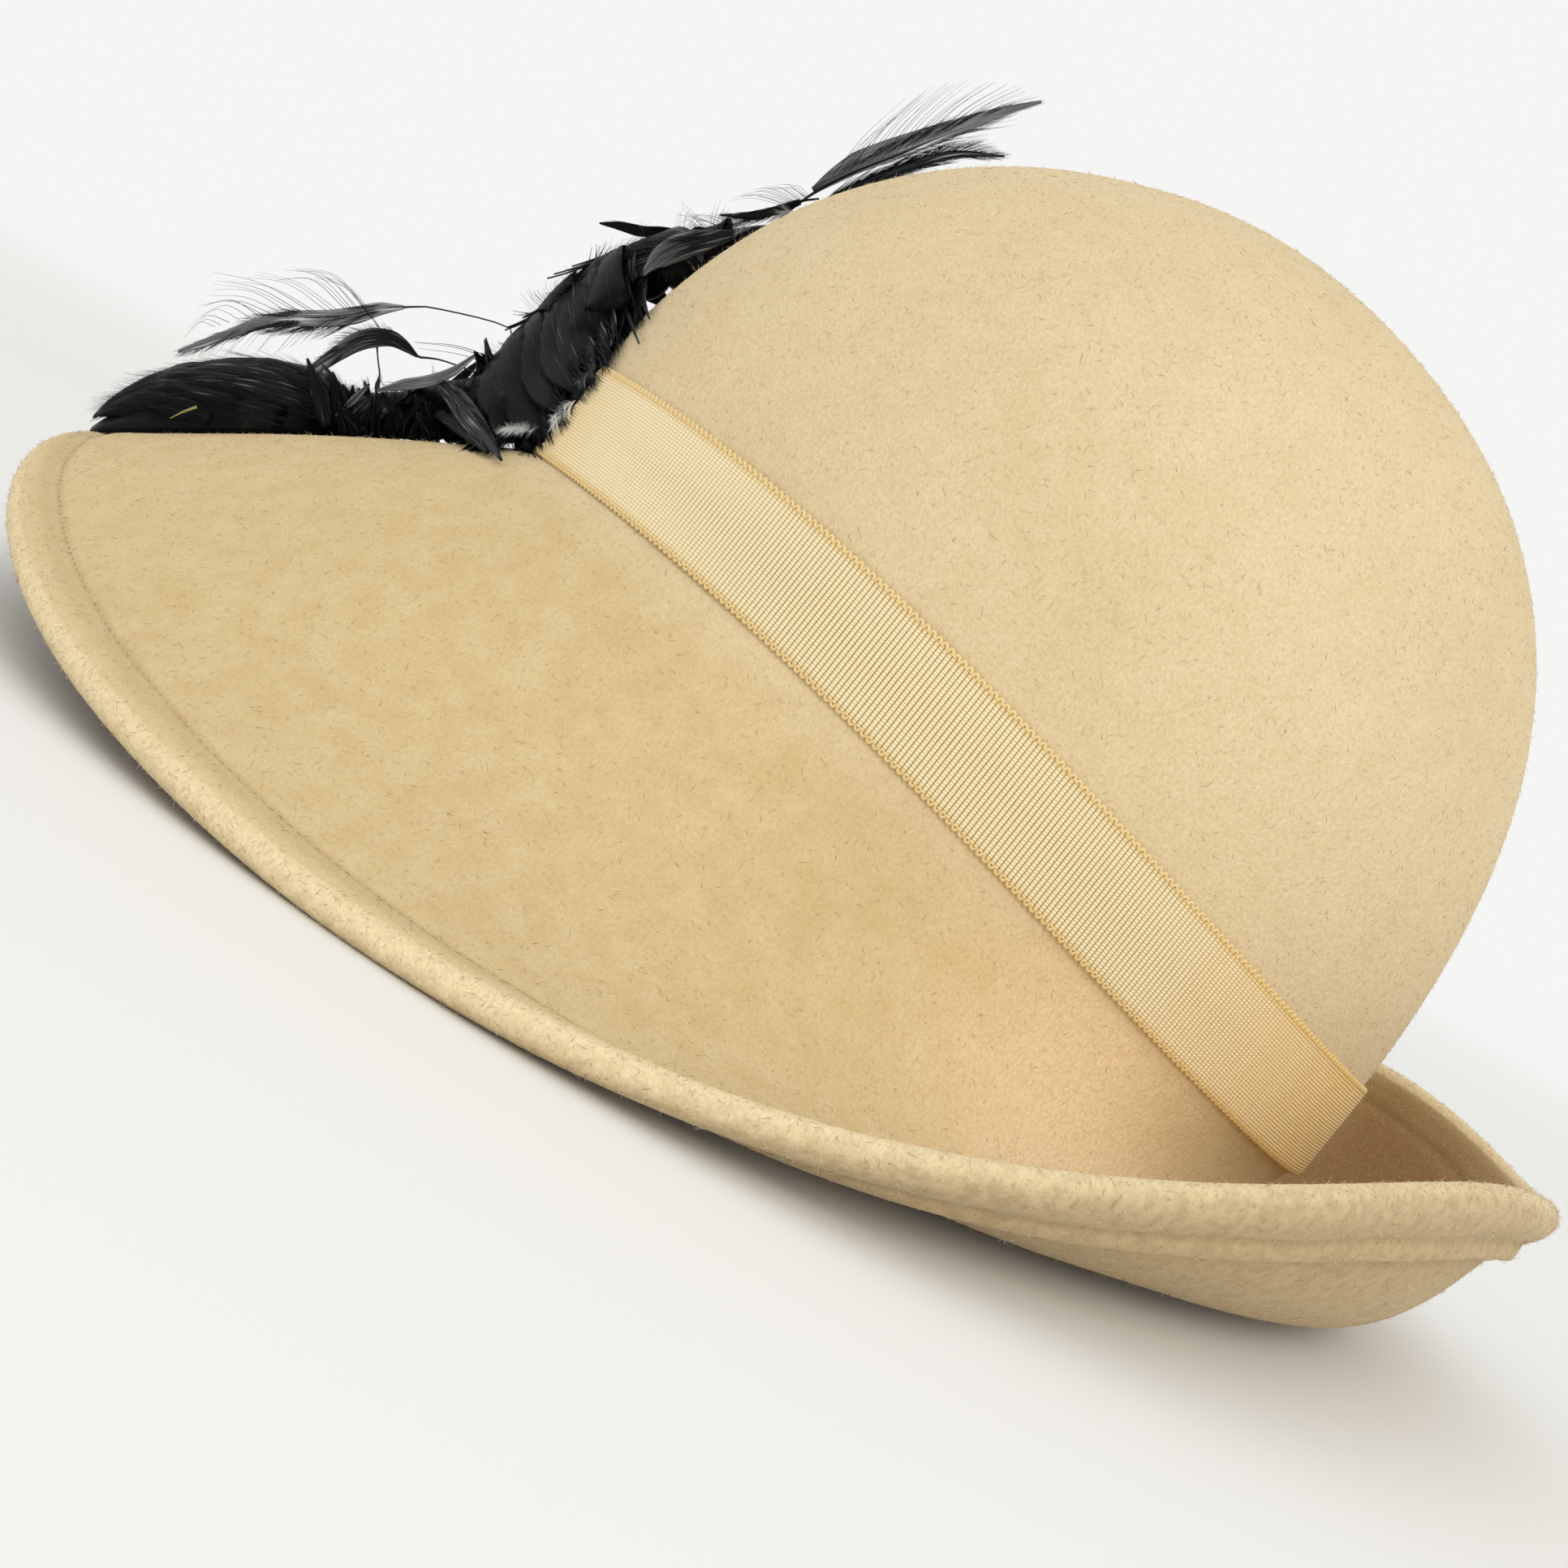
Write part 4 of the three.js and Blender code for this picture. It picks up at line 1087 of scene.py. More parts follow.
# %% Plumes
TOP_PLUME = [
    (-1, 60, 1.8, 0, 0, 0, 0.22, 1, 0.5), (0, 71, 3.6, 0, 0, 80, 0.24, 1, 0.5),
    (0, 74.5, 4.4, 4, 2, 80, 0.34, 0.5, 0.4), (0, 79, 5.1, 9, 4, 80, 0.36, 0.2, 0.6),
    (0, 84, 5.8, 13, 4, 80, 0.34, 0.2, 0.8), (0, 90, 6.6, 13, 5, 80, 0.3, 0.2, 1.0),
    (0, 96, 8, 11, 7, 80, 0.26, 0.2, 1.1), (0, 103, 10.2, 8, 7, 80, 0.2, 0.2, 1.1),
    (0, 110, 12.8, 5, 4, 80, 0.14, 0.2, 1.0), (0, 117, 15.4, 1.5, 1.5, 80, 0.08, 0.2, 0.8),
]
LOW_PLUME = [
    (-3, 60, 1.4, 0, 0, 0, 0.22, 1, 0.5), (-4, 70, 2.2, 2, 2, 50, 0.26, 0.6, 0.5),
    (-3, 78, 3.4, 8, 7, 60, 0.28, 0.2, 0.5), (-2, 86, 3.9, 10, 9, 60, 0.24, 0.2, 0.7),
    (-1, 94, 4.7, 10, 9, 60, 0.18, 0.2, 0.9), (0, 102, 5.4, 8, 7, 60, 0.14, 0.2, 0.9),
    (0, 111, 4.6, 2, 1.5, 60, 0.08, 0.4, 0.8),
]
CROWN_FEATHER = [
    (1, 75, 2.6, 0, 0, 0, 0.22, 0.6, 0.3), (1, 71.5, 3.6, 3, 5, 75, 0.28, 0.2, 0.2),
    (0, 67.4, 4.4, 4, 8, 75, 0.26, 0.2, 0.4), (0, 63, 5.6, 4, 8, 75, 0.2, 0.2, 0.5),
    (0, 60, 7, 3, 4, 75, 0.14, 0.2, 0.5), (0, 57, 9.2, 1, 1, 75, 0.08, 0.2, 0.5),
]
top_plume = grow_feathers("top_plume_barbs", [feather_path(TOP_PLUME, 60)], 13, spacing=0.1, slant=17,
                          slenderness=0.005, curl=0.05, disorder=0.025, barb_steps=3)
low_plume = grow_feathers("low_plume_barbs", [feather_path(LOW_PLUME)], 14,
                          spacing=0.13, slant=25, slenderness=0.007)
crown_feather = grow_feathers("crown_feather_barbs", [feather_path(CROWN_FEATHER)], 15,
                              spacing=0.13, slant=20, slenderness=0.01)
finish_piece(top_plume, "feather", "top_plume")
finish_piece(low_plume, "feather", "low_plume")
finish_piece(crown_feather, "feather", "crown_feather")

# %% Loose barbs of the plumes
# above and below the top plume, then the crown feather's and those at the roll's top end
loose += loose_barbs([(0, 76, 4.8), (0, 84, 6), (0, 91, 7), (0, 98, 8.8), (0, 105, 11)],
                     [(-2, 94, 17), (0, 98.4, 18.4), (1, 103, 19), (0, 108, 19), (0, 113, 18),
                      (0, 116.5, 16.4)],
                     30, 1.2, bow=0.6)
loose += loose_barbs([(0, 88, 7), (0, 96, 8), (0, 104, 10.4)],
                     [(0, 98, 5), (0, 106, 7.4), (0, 113, 11.6)], 14, 1.1, bow=-0.4)
loose += loose_barbs([(0, 73.5, 4), (0, 71, 4.4), (0, 68, 4.8)],
                     [(0, 70.5, 7.4), (0, 65, 9.8), (0, 59.5, 11)], 15, 1.7, bow=1.2, stray=0.5)
loose += loose_barbs([(0, 59, 4.5), (0, 57, 5)], [(0, 55, 10.5), (0, 50.5, 14.6)], 9, 1.8, bow=1.0, stray=0.5)
print("Loose barbs so far:", len(loose))

# %% [markdown]
# ## The roll of wound feathers
# Dozens of short feathers are wound round each other into a thick roll that lies over the ribbon
# from the crown to the brim. A dark core closes it. Narrow vanes wind round the core, broad bands
# cross it down to the ribbon, pointed tips stand on its outer side, and a thin fringe of barbs
# frays them all.

# %% Core of the roll
ROPE = np.array([                  # turn, run, off and the roll's width there
    (-2, -41, 5.4, 3), (0, -36, 4.8, 8.5), (1, -27, 5.7, 10), (2, -16, 7.2, 13), (4, -7, 9.0, 15.5),
    (5, 14, 9.8, 16), (5, 24, 9.3, 16), (4, 34, 8.6, 15), (2, 43, 7.0, 12), (0, 51, 4.9, 8),
    (-1, 58, 2.8, 3),
], float)
ROPE_STEPS, ROPE_LENGTH = 120, 125  # samples along the roll, and its length in mm
CORE_SHARE = 0.86                  # the core's share of the roll's radius
rope_line, rope_tangent, rope_normal = over_felt(ROPE, ROPE_STEPS)
rope_across = np.cross(rope_normal, rope_tangent)
rope_radius = read_along(ROPE, np.linspace(0, len(ROPE) - 1, ROPE_STEPS))[:, 3] / 2


def on_roll(share, angle, lift=0.0):
    """A point on the roll: share of its length, angle round it, lift off its surface in mm."""
    at = np.clip(share, 0, 1) * (ROPE_STEPS - 1)
    line, normal, across = (read_along(values, at) for values in (rope_line, rope_normal, rope_across))
    out = unit(normal * np.cos(angle)[:, None] + across * np.sin(angle)[:, None])
    radius = np.interp(at, np.arange(ROPE_STEPS), rope_radius) * CORE_SHARE + lift
    return line + out * radius[:, None], out


core_rings = []
angles = np.radians(np.arange(0, 360, 12))
for share in np.linspace(0.02, 0.98, 80):
    fold = 0.5 * np.cos(2 * angles - share * 40) + 0.3 * np.cos(5 * angles + share * 63)
    core_rings.append(to_table(on_roll(np.full(len(angles), share), angles, -1.2 + fold)[0]))
ends = [to_table(on_roll(np.array([share]), np.array([0.0]), -1.29)[0]) for share in (0, 1)]
finish_piece(dark_core("rope_core", [ends[0], *core_rings, ends[1]], 0.1), "feather", "feather_rope")

# %% Vanes wound round the roll
def lying(line, out, widths, thick, shade):
    """A feather that lies on a surface: its line, the way off the surface and its barbs' reach."""
    n = len(line)
    side = unit(np.cross(out, unit(np.gradient(line, axis=0))))
    reach = np.interp(np.linspace(0, 1, n), (0, 0.15, 0.5, 0.85, 1), widths)
    thick = np.linspace(thick, thick / 3, n)
    return vane_path(line, side, upper=reach, lower=reach, thick=thick, horn=0.2, shade=shade)


WINDS = 30
wound = []
for k in range(WINDS):
    back = chance.random() < 0.3
    span = chance.uniform(0.08, 0.15) * (-1 if back else 1)
    start = (k + 0.5) / WINDS - span * 0.4
    first = math.radians(chance.uniform(40, 110))
    sweep = math.radians(chance.uniform(150, 215))
    t = np.linspace(0, 1, 16)
    lift = 0.1 + 0.3 * (k % 3) + chance.uniform(0, 0.3) + chance.uniform(0.2, 1.8) * t ** 4
    line, out = on_roll(start + span * t, first - sweep * t, lift)
    widths = np.array((3, 10, 12.5, 10, 1)) * chance.uniform(0.85, 1.15)
    wound.append(lying(line, out, widths, 0.16, chance.choice((0.0, 0.0, 0.1, 0.3, 0.9))))
print("Vanes wound round the roll:", len(wound))

# %% Bands from the roll's top down to the ribbon
# The roll's edge over the felt, by run: how far round the hat it reaches on the near side.
EDGE_RUNS, EDGE_TURNS = (-12, 2.6, 11.7, 18.1, 23.6, 29.8, 36), (18, 23, 24.5, 22.5, 18.5, 16, 13)
BANDS = 8
for k in range(BANDS):
    run = 3 + 32 * k / (BANDS - 1) + chance.uniform(-1, 1)
    shade = chance.choice((0.0, 0.1, 0.3, 0.5))
    last = np.interp(run - 8, EDGE_RUNS, EDGE_TURNS)
    small = np.interp(run, (-6, 10, 40), (0.9, 1, 0.75))
    rows = [(-1.5, run + 4, 2), (-1.2, run + 3.5, 9 * small), (1, run + 3, 15.5 * small),
            (4.5, run + 1.5, 18.2 * small), (8, run, 17 * small), (11.5, run - 2.5, 13.6 * small),
            (15, run - 5, 9.2 * small), (last * 0.82, run - 7, 4.6), (last, run - 9, 1.4)]
    line, middle = (smooth_path(np.array([place(*spot)[0] for spot in spots]), 18)
                    for spots in (rows, [(6, row[1], 2) for row in rows]))
    widths = np.array((2, 8, 11.5, 10, 1)) * chance.uniform(0.8, 1.1) * min(1, 1.6 - k / 10)
    wound.append(lying(line, unit(line - middle), widths, 0.16, shade))
print("Vanes and bands:", len(wound))

# %% Pointed tips on the roll's outer side
TIPS = (                           # share of the roll, angle round it, way along, reach in mm, rise
    (0.32, -10, 1, 7, 0.5), (0.345, 5, 1, 8, 0.55), (0.37, -15, 1, 8, 0.6), (0.395, 0, 1, 9, 0.5),
    (0.585, -5, -1, 10, 0.25), (0.61, 8, -1, 8, 0.2), (0.715, -8, -1, 12, 0.3), (0.735, 5, -1, 10, 0.22),
    (0.45, 0, -1, 8, 0.15), (0.66, -20, -1, 9, 0.12),
)
for share, degrees, along, reach, rise in TIPS:
    for _ in range(2):
        t = np.linspace(0, 1, 10)
        shares = share + along * reach / ROPE_LENGTH * t + chance.uniform(-0.008, 0.008)
        around = np.radians(degrees + chance.uniform(-12, 12) - 12 * t)
        line, out = on_roll(shares, around, 0.3 + reach * rise * t ** 1.7)
        wound.append(lying(line, out, np.array((2, 3, 2.6, 1.5, 0.2)), 0.12, chance.choice((0.1, 0.4, 0.8))))
finish_piece(blades("rope_vanes", wound, slant=30, fill=0.95, bow=0.16), "feather")
rope_barbs = grow_feathers("rope_barbs", wound, 16, spacing=0.75, slant=30, clump=2.5, slenderness=0.006,
                           curl=0.1, droop=0.45, disorder=0.02, clumping=0.2, stem_steps=12, barb_steps=3)
finish_piece(rope_barbs, "feather")

# %% Needle tips on the roll
NEEDLES = (                        # share of the roll, angle round it, way along, reach in mm
    (0.32, 15, 1, 5), (0.345, 0, 1, 6), (0.37, 20, 1, 6), (0.395, 5, 1, 7), (0.57, 5, -1, 7),
    (0.59, 15, -1, 6), (0.67, 10, 1, 7), (0.69, 0, 1, 6), (0.3, -60, -1, 4), (0.45, -95, -1, 4),
    (0.62, -100, -1, 5),
)
needles = []
for share, degrees, along, reach in NEEDLES:
    for _ in range(3):
        t = np.linspace(0, 1, 4)
        step, lift = reach / ROPE_LENGTH * chance.uniform(0.6, 1), reach * chance.uniform(0.3, 0.8)
        shares = share + along * step * t + chance.uniform(-0.006, 0.006)
        around = math.radians(degrees) + chance.uniform(-0.12, 0.12) + 0.1 * t
        needles.append(bare_path(on_roll(shares, around, 0.2 + lift * t ** 1.4)[0], 0.16, 0.5))
print("Needles:", len(needles))

# %% [markdown]
# ## The mound on the brim
# A bunch of small glossy feathers lies on the front of the brim, roots under the hackles and
# tips drawn together towards the rim. A dark mound closes it and long narrow vanes cover it.

# %% Core of the mound
FAN = np.array([                   # run, the middle's place beside the hat's front, half width and height
    (-42, -2, 3, 5), (-45, -2, 6, 14), (-50, -3, 9, 16.5), (-57, -3, 11, 17.5), (-66, -4, 12, 17),
    (-74, -4, 12, 15), (-80, -3, 10, 11.3), (-84, -1, 7.5, 8.6), (-88, 1, 5, 5.2), (-91, 2.5, 2.5, 2.4),
    (-93, 3, 1, 1),
], float)


def on_mound(run, angle, lift=0.0):
    """A point on the mound: its run out over the brim, angle over it from one side (0) to the other (180)."""
    middle, half, height = (np.interp(-run, -FAN[:, 0], FAN[:, k]) for k in (1, 2, 3))
    a = math.radians(angle)
    spot, normal = place(middle - half * math.cos(a), run, 0.6 + max(height * 0.88 + lift, 0) * math.sin(a))
    return spot + lift * 0.5 * abs(math.cos(a)) * normal


mound_rings = []
for run in np.linspace(-43, -90, 28):
    middle, half = (np.interp(-run, -FAN[:, 0], FAN[:, k]) for k in (1, 2))
    over = [on_mound(run, a, -1.0) for a in np.linspace(0, 180, 25)]
    below = [place(middle + half * share, run, 0.6)[0] for share in np.linspace(1, -1, 13)[1:-1]]
    mound_rings.append(to_table(np.array(over + below)))
root, nose = (to_table(np.array([place(*spot)[0]])) for spot in ((-2, -42, 1.8), (2.5, -92, 0.9)))
finish_piece(dark_core("fan_core", [root, *mound_rings, nose], 0.0), "feather", "feather_fan")

# %% Vanes over the mound
LAYERS, ACROSS = 5, 12             # layers from root to rim, and vanes side by side in each
bunch = []
for row in range(LAYERS):
    for k in range(ACROSS):
        t = np.linspace(0, 1, 14)
        base = -43 - row * 6.5 + chance.uniform(-1.5, 1.5)
        end = max(base - chance.uniform(30, 42), chance.uniform(-91, -86))
        angle = 3 + 174 * min(max((k + 0.5 * (row % 2) + chance.uniform(-0.3, 0.3)) / (ACROSS - 0.5), 0), 1)
        runs = base + (end - base) * t
        line = np.array([on_mound(run, angle + (90 - angle) * 0.3 * s, 0.2 + 0.15 * row + 0.3 * s * (1 - s))
                         for run, s in zip(runs, t)])
        inner = np.array([on_mound(run, 90, -40) for run in runs])
        shade = chance.choice((0.0, 0.0, 0.1, 0.3, 0.6))
        bunch.append(lying(line, unit(line - inner + 1e-6), np.array((5, 12, 14, 6, 0.6)), 0.18, shade))
finish_piece(blades("fan_vanes", bunch, slant=16, fill=0.9, bow=0.15), "feather")
fan_barbs = grow_feathers("fan_barbs", bunch, 17, spacing=0.95, slant=16, slenderness=0.004, curl=0.06,
                          disorder=0.02, clumping=0.15, stem_steps=12)
finish_piece(fan_barbs, "feather")

# %% [markdown]
# ## Single feathers
# Round the roll and the mound single feathers stand free: a thin post, grey leaves, dark spikes
# and blades. Short pleated vanes close the mound's root, tufts stand between it and the roll, and
# skirts of vanes hang from both sides of the roll over the ribbon.

# %% Table of the single feathers
SINGLES = [
    # the short hackle's closed vane
    SHORT_HACKLE[2:],
    # thin post and its wing
    [(3, -32.9, 3, 3, 3, 80, 0.3, 0.3, 1.0), (2, -34.3, 9.3, 3.6, 4.4, 80, 0.26, 0.3, 1.2),
     (1, -34.4, 13.1, 2.4, 2.4, 80, 0.2, 0.3, 1.0), (0, -35.7, 17.4, 0.8, 0.8, 80, 0.16, 0.3, 0.9),
     (0, -36.2, 21.4, 0.5, 0.5, 80, 0.08, 0.3, 0.8)],
    [(4, -34.6, 11, 1, 1, 80, 0.24, 0.3, 1.2), (5, -37, 7.6, 3, 3, 80, 0.2, 0.3, 1.3),
     (6, -40, 4.2, 0.6, 0.6, 80, 0.1, 0.3, 1.2)],
    # leaf beside the mound
    [(3, -39, 3, 4, 4, 80, 0.3, 0.3, 0.5), (3, -40.8, 9, 4, 4, 80, 0.26, 0.3, 0.7),
     (2, -43.4, 12.4, 2.4, 2.4, 80, 0.2, 0.3, 1.0), (2, -45.6, 15, 0.6, 0.6, 80, 0.1, 0.3, 0.9)],
    # grey leaf across the gap
    [(5, -13.5, 17.8, 1, 1, 80, 0.16, 0.5, 1.4), (5, -17.5, 14.4, 3, 3, 75, 0.2, 0.3, 1.6),
     (5, -22.1, 12.2, 4, 4, 75, 0.22, 0.3, 1.7), (5, -27, 11.1, 4, 4, 75, 0.2, 0.3, 1.6),
     (5, -32.4, 9.6, 1, 1, 75, 0.1, 0.3, 1.4)],
    # dark spike with a grey vane that comes down over the brim
    [(5, -20, 11.6, 4, 4, 60, 0.3, 0.3, 0.8), (9, -15.8, 8.9, 7, 7, 45, 0.3, 0.3, 1.0),
     (14, -12.2, 5.6, 8, 8, 30, 0.24, 0.3, 1.0), (21, -9.6, 2.8, 5, 6, 15, 0.18, 0.3, 0.8),
     (30, -9.4, 1.3, 0.8, 0.8, 10, 0.1, 0.3, 0.6)],
    [(6, -20, 6, 4, 4, 40, 0.3, 0.3, 0.3), (12, -14, 4, 8, 8, 30, 0.3, 0.3, 0.3),
     (19, -11.5, 2.4, 6, 6, 15, 0.2, 0.3, 0.3), (26, -10.5, 1.2, 1, 1, 10, 0.1, 0.3, 0.3)],
    # blades over the roll's top end
    [(1, 50.5, 8.6, 3, 3, 75, 0.3, 0.3, 0.2), (1, 46.6, 12.8, 4, 4, 75, 0.3, 0.3, 0.2),
     (0, 43.8, 16.4, 4, 4, 75, 0.26, 0.3, 0.2), (0, 41.5, 19.8, 3, 3, 75, 0.18, 0.3, 0.3),
     (0, 39.3, 22.9, 0.6, 0.6, 75, 0.1, 0.3, 0.5)],
    [(6, 57, 2.6, 3, 3, 70, 0.3, 0.3, 0.8), (8.5, 51.3, 4.3, 8, 7, 75, 0.3, 0.3, 1.0),
     (8.5, 47.3, 6.0, 9.5, 9, 75, 0.24, 0.3, 1.2), (8.5, 43.4, 6.8, 7, 7, 75, 0.18, 0.3, 1.3),
     (8.5, 41, 6.8, 3.5, 3.5, 75, 0.14, 0.3, 1.5), (8.5, 38.8, 6.4, 0.8, 0.8, 75, 0.1, 0.3, 1.6)],
    [(2, 58, 3, 4, 4, 60, 0.3, 0.3, 0.3), (2, 53, 4.6, 9, 9, 60, 0.3, 0.3, 0.3),
     (3, 47, 6.4, 9, 9, 60, 0.24, 0.3, 0.3), (3, 41, 7.4, 2, 2, 60, 0.1, 0.3, 0.3)],
    # tips over the ribbon and the crown
    [(12, 32, 5, 2, 2, 40, 0.2, 0.3, 0.3), (18.6, 30.4, 2.4, 2.4, 2.4, 30, 0.2, 0.3, 0.3),
     (29, 26.9, 1.3, 0.5, 0.5, 20, 0.1, 0.3, 0.3)],
    [(12, 37, 4, 2, 2, 40, 0.16, 0.3, 0.9), (17, 34.8, 2.4, 3, 3, 30, 0.16, 0.3, 1.0),
     (25, 32.1, 1.3, 0.5, 0.5, 20, 0.08, 0.3, 0.9)],
    [(13, 4, 4, 3, 3, 40, 0.2, 0.3, 0.3), (18, 2.6, 2.6, 3, 3, 30, 0.18, 0.3, 0.3),
     (24, 2, 1.6, 0.5, 0.5, 20, 0.08, 0.3, 0.3)],
    # tips on the roll's outer side
    [(3, -2.5, 27, 3, 3, 80, 0.2, 0.3, 0.2), (2, -4.2, 26.4, 3, 3, 80, 0.2, 0.3, 0.2),
     (1, -6.5, 25, 0.6, 0.6, 80, 0.1, 0.3, 0.3)],
    [(3, -14, 13, 4, 4, 80, 0.2, 0.3, 0.2), (2, -11.5, 17, 3, 3, 80, 0.2, 0.3, 0.3),
     (1, -9, 21, 0.5, 0.5, 80, 0.1, 0.3, 0.4)],
    [(3, -19, 11, 4, 4, 80, 0.2, 0.3, 0.3), (2, -16.5, 14.5, 3, 3, 80, 0.2, 0.3, 0.5),
     (1, -13.6, 18.4, 0.5, 0.5, 80, 0.1, 0.3, 0.6)],
]

print("Single feathers:", len(SINGLES))

# %% Single feathers and webs of the plumes
single_paths = [feather_path(rows, 24) for rows in SINGLES]
WEBS = (                           # rows, how much paler than the barbs, how much broader above the quill
    (LONG_HACKLE[3:], 0.7, 1.3), (TOP_PLUME[2:], 0.7, 2.2),
    (LOW_PLUME[2:], 0.1, 1.0), (CROWN_FEATHER[1:], 0.0, 1.1),
)
webs = []
for rows, paler, broader in WEBS:
    web = feather_path(rows, 30)
    web["shade"], web["upper"] = web["shade"] + paler, web["upper"] * broader
    webs.append(web)
single_barbs = grow_feathers("single_barbs", single_paths[1:], 40, spacing=0.24, slant=22, clump=2,
                             slenderness=0.011, clumping=0.35)
finish_piece(single_barbs, "feather")
finish_piece(blades("single_vanes", single_paths, slant=22, fill=0.8, bow=0.15), "feather")
finish_piece(blades("plume_webs", webs, slant=17, fill=0.5, bow=0.1), "feather")

# %% Pleats that close the mound's root
PLEATS = 18
short = []
for k in range(PLEATS):
    turn, base = 6 - 13 * k / (PLEATS - 1) + chance.uniform(-0.6, 0.6), -41 + chance.uniform(-3, 2)
    high = chance.uniform(9, 16)
    short.append(feather_path([
        even(turn, base, 2, 3, 80, 0.2, 0.3),
        even(turn, base - 1, high * 0.5, 7, 80, 0.2, 0.3),
        even(turn, base - 2 + chance.uniform(-2, 2), high, 0.8, 80, 0.1, 0.6),
    ], 12))
print("Pleats:", len(short))

# %% Tufts between the mound and the roll
TUFTS = 48
tufted = []
for k in range(TUFTS):
    turn, base, high = chance.uniform(-2, 7.5), -42 + 27 * k / (TUFTS - 1), chance.uniform(7, 13.5)
    high *= 1 - abs(turn - 2) / 14
    bent, edge = chance.uniform(-3.5, 3.5), chance.uniform(30, 80)
    tufted.append(feather_path([
        even(turn * 0.6 + 1, base, 0.8, 6, edge, 0.2, 0.1),
        even(turn * 0.7 + 0.7, base + bent * 0.2, high * 0.4, 7, edge, 0.2, 0.3),
        even(turn, base + bent * 0.6, high * 0.75, 4.5, edge, 0.14, 0.5),
        even(turn * 1.1, base + bent, high, 0.5, edge, 0.08, 0.8),
    ], 14))
print("Tufts:", len(tufted))

# %% Skirts over the ribbon
NEAR_SKIRT, FAR_SKIRT = 17, 9
SKIRT_TURNS = (18, 23.5, 25, 23, 19, 16.5, 13)  # how far round the hat the near one hangs, by run
for k in range(NEAR_SKIRT):
    run, lean = -4 + 42 * k / (NEAR_SKIRT - 1) + chance.uniform(-0.5, 0.5), chance.uniform(-9, -5)
    last = np.interp(run + lean, EDGE_RUNS, SKIRT_TURNS) + chance.uniform(-0.5, 0.5)
    tone = chance.choice((0.0, 0.1, 0.3, 0.6))
    short.append(feather_path([
        even(4, run + 2, 12, 8, 20, 0.2, tone),
        even(9, run + lean * 0.2, 8, 16, 30, 0.2, tone),
        even(last * 0.65, run + lean * 0.45, 4.4, 18, 25, 0.16, tone),
        even(last * 0.88, run + lean * 0.75, 2.3, 14, 15, 0.14, tone),
        even(last, run + lean, 1.1, 3, 10, 0.1, tone),
    ], 16))
for k in range(FAR_SKIRT):
    run, lean = -2 + 36 * k / (FAR_SKIRT - 1) + chance.uniform(-0.5, 0.5), chance.uniform(-7, -3)
    small = np.interp(run, (-6, 10, 40), (0.9, 1, 0.6))
    short.append(feather_path([
        even(4, run + 3, 13 * small, 8, -20, 0.2, 0.1),
        even(0, run + 1, 12 * small, 14, -30, 0.2, 0.1),
        even(-2.5, run + lean * 0.4, 7 * small, 15, -30, 0.16, 0.2),
        even(-5, run + lean * 0.8, 2.6, 10, -20, 0.14, 0.2),
        even(-7, run + lean, 1.3, 1, -10, 0.1, 0.2),
    ], 14))
print("Pleats and skirts:", len(short))

# %% Short vanes and tufts
short_barbs = grow_feathers("short_barbs", short, 60, spacing=0.65, slant=20, slenderness=0.014, stem_steps=8)
finish_piece(short_barbs, "feather")
finish_piece(blades("short_vanes", short, slant=20, fill=0.85), "feather")
tuft_barbs = grow_feathers("tuft_barbs", tufted, 61, spacing=0.45, slant=22, clump=2,
                           slenderness=0.013, disorder=0.06, stem_steps=6)
finish_piece(tuft_barbs, "feather")
finish_piece(blades("tuft_vanes", tufted, slant=22, fill=0.6, bow=0.15), "feather")

# %% [markdown]
# ## Down, loose barbs and an olive quill
# White down curls at the feathers' roots. The loose barbs and needles of all the cells above grow
# in one piece, because each is a single bowed hair, and one bare quill shows its olive horn.

# %% White down at the roots
DOWN = (                           # turn, run, off, how pale, and how many tufts
    (20, -4.2, 3.6, 4.4, 5), (20.5, -2.8, 3.8, 4.4, 5), (21, -1.4, 3.8, 4.2, 4),
    (26, 7, 2.4, 4.2, 4), (26.5, 9.2, 2.2, 4.0, 4),
    (25, 15.5, 2.6, 2.0, 2), (24.5, 19, 2.4, 1.8, 2), (3, 68, 2, 2.4, 3), (2, 60, 3, 2.3, 3),
)
down = []
for turn, run, off, pale, count in DOWN:
    for _ in range(count):
        t, r = turn + chance.uniform(-1.2, 1.2), run + chance.uniform(-1.2, 1.2)
        lean = chance.uniform(-1.6, -0.4)
        down.append(feather_path([
            even(t - 1, r - lean, off, 2.2, 30, 0.06, pale),
            even(t, r, off + 0.6, 3.4, 40, 0.06, pale),
            even(t + 1, r + lean, off + 0.2, 1.2, 50, 0.04, pale),
        ], 10))
down_tufts = grow_feathers("down_tufts", down, 62, spacing=0.18, slant=30, clump=1,
                           slenderness=0.011, disorder=0.25, clumping=0.5, stem_steps=6)
finish_piece(down_tufts, "feather")

# %% Loose barbs and the olive quill
finish_piece(grow_feathers("loose_barbs", loose + needles, 63, stem_steps=9), "feather")
OLIVE = ((9.5, -65.3, 5.4), (9.5, -68, 4.4), (9.5, -70.5, 3.2))
olive = bare_path([place(*spot)[0] for spot in OLIVE], 0.35, 1.5)
olive["horn"] = olive["horn"] + 2
finish_piece(grow_feathers("olive_quill", [olive], 64, stem_steps=9), "feather")

# %% [markdown]
# ## Floor, light and camera
# A pale floor and a pale surround keep the felt's own colour. One large soft light stands on the
# wearer's left, high and a little to the back, where it grazes the crown and the brim's edge.

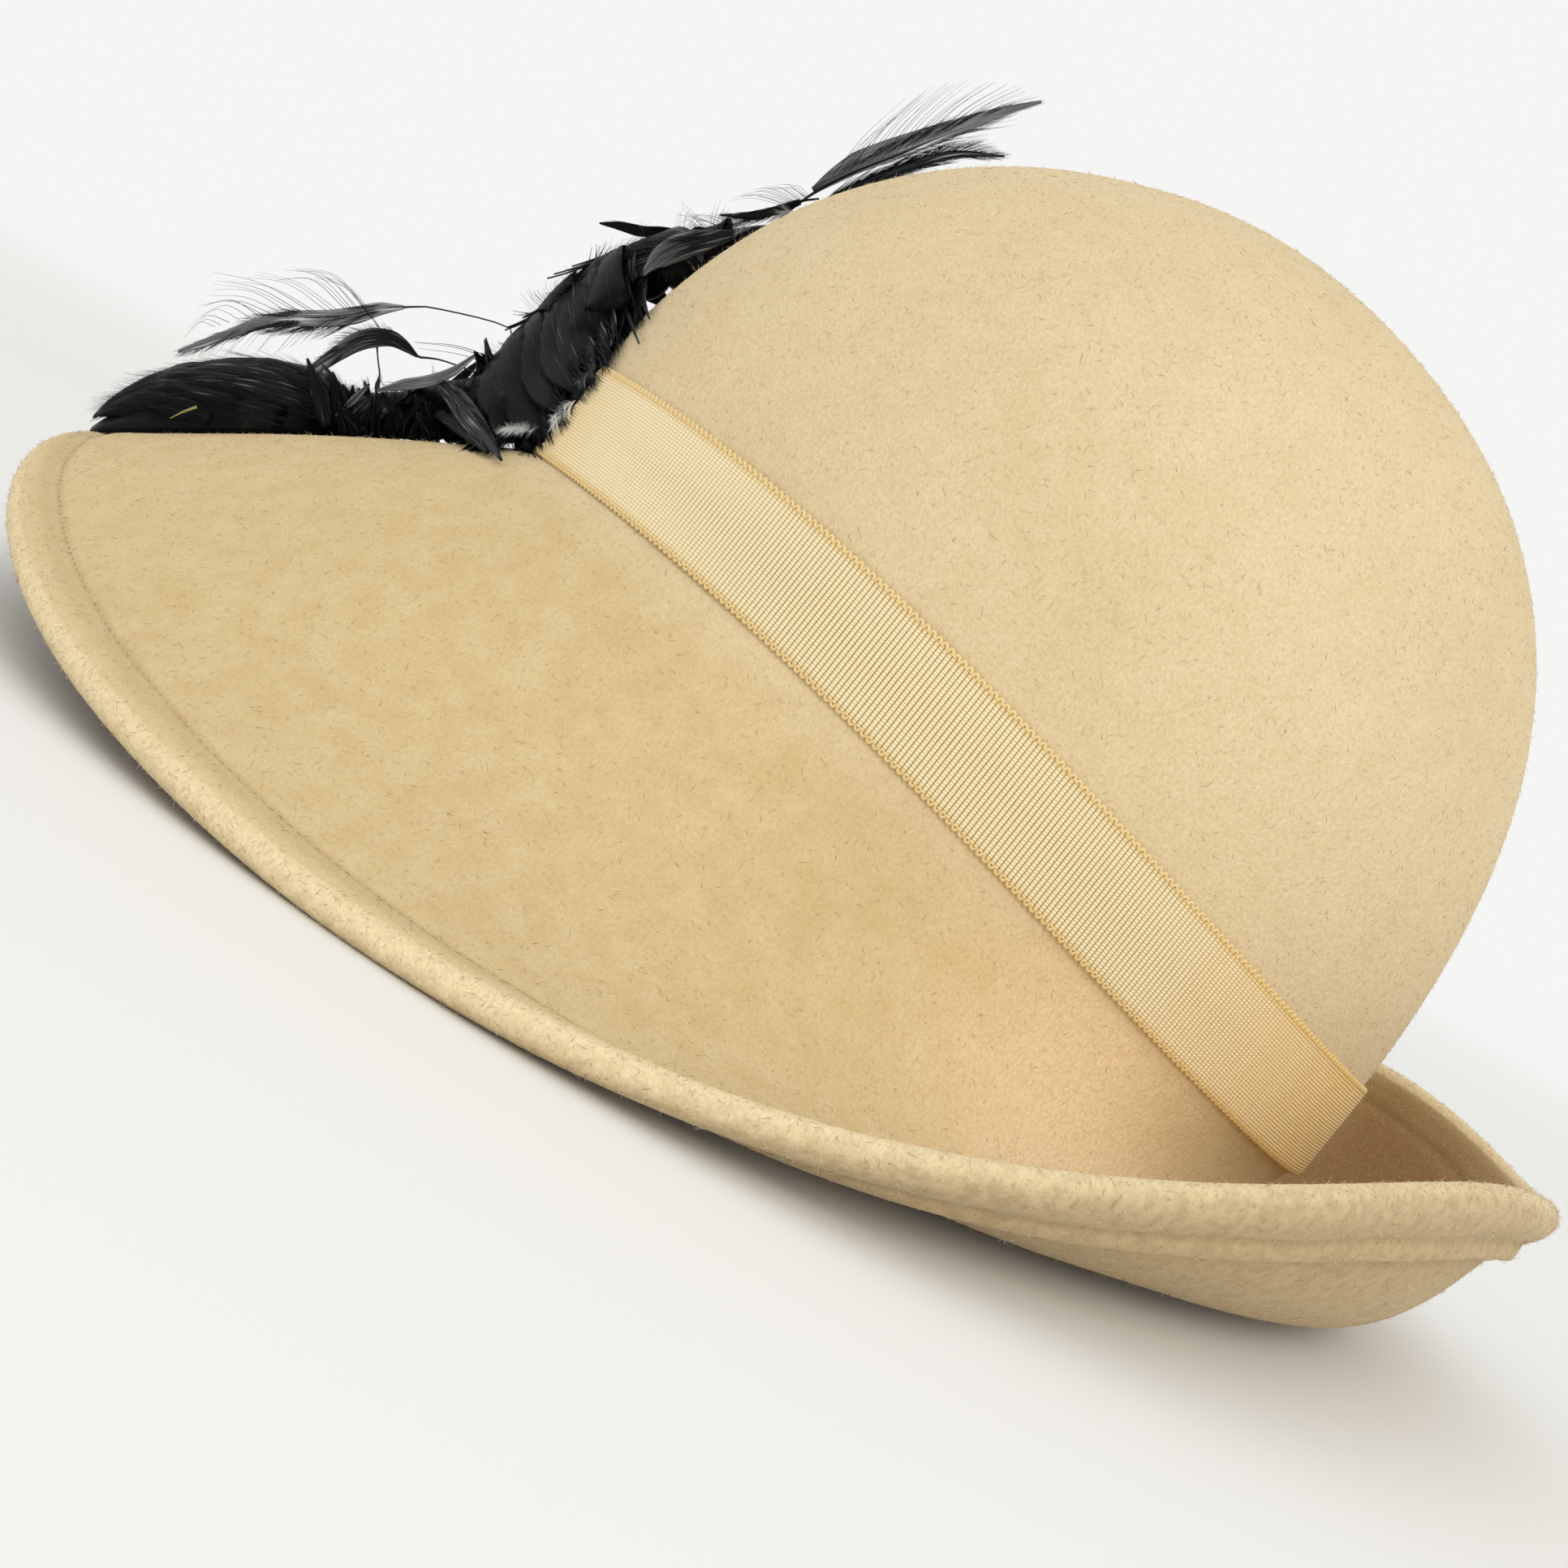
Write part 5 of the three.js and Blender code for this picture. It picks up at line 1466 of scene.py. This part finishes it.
# %% Floor
floor_mesh = bpy.data.meshes.new("floor")
floor_mesh.from_pydata([(-6, -6, 0), (6, -6, 0), (6, 6, 0), (-6, 6, 0)], [], [(0, 1, 2, 3)])
floor = put("floor", floor_mesh)
painted_board, tree = new_material("painted_board")
where = add(tree, "ShaderNodeTexCoord").outputs["Object"]
cloud = add(tree, "ShaderNodeTexNoise", {"Vector": where, "Scale": 1 / (400 * MM), "Detail": 2})
distance = add(tree, "ShaderNodeVectorMath", {0: where}, operation="LENGTH")
# painted light: the board is painted lighter from 0.7 m to 3 m out, so that it fades into the bright surround
colour = layered(tree, "#e9e9e7", (cloud, 0, 1, 1, "#eeeeec"), (distance, 0.7, 3, 1, "#fefefd"))
close_material(painted_board, colour, {"Roughness": 0.9})
floor_mesh.materials.append(painted_board)

# %% Surround and light
world = bpy.data.worlds.new("pale_room")
world.use_nodes = True
surround = world.node_tree.nodes["Background"].inputs
surround["Color"].default_value, surround["Strength"].default_value = srgb("#fbfbfa"), 0.95
bpy.context.scene.world = world
bpy.context.scene.view_settings.view_transform = "Standard"
WINDOW_AT, AIM = Vector((1.5, 0.5, 0.75)), Vector((0, 0, 0.08))
window_light = bpy.data.lights.new("window", "AREA")
window_light.shape, window_light.size, window_light.energy = "SQUARE", 1.4, 11
window_light.color = srgb("#fffaf2")[:3]
window = put("window", window_light)
window.location = WINDOW_AT
window.rotation_euler = (AIM - WINDOW_AT).to_track_quat("-Z", "Y").to_euler()
print("The window light is", window_light.size, "m wide")

# %% Camera
camera_data = bpy.data.cameras.new("camera")
camera_data.sensor_width, camera_data.lens, camera_data.clip_start = 36, 51.14, 0.01
camera = put("camera", camera_data)
image_right = Vector((-0.1289, 0.8671, 0.4819)).normalized()
image_up = Vector((-0.0148, -0.4876, 0.8733)).normalized()
turned = Matrix((image_right, image_up, image_right.cross(image_up))).transposed()
camera.matrix_world = Matrix.Translation((0.44065, 0.04363, 0.07121)) @ turned.to_4x4()
bpy.context.scene.camera = camera
print("Camera stands at", [round(v, 3) for v in camera.location], "lens", round(camera_data.lens, 2), "mm")
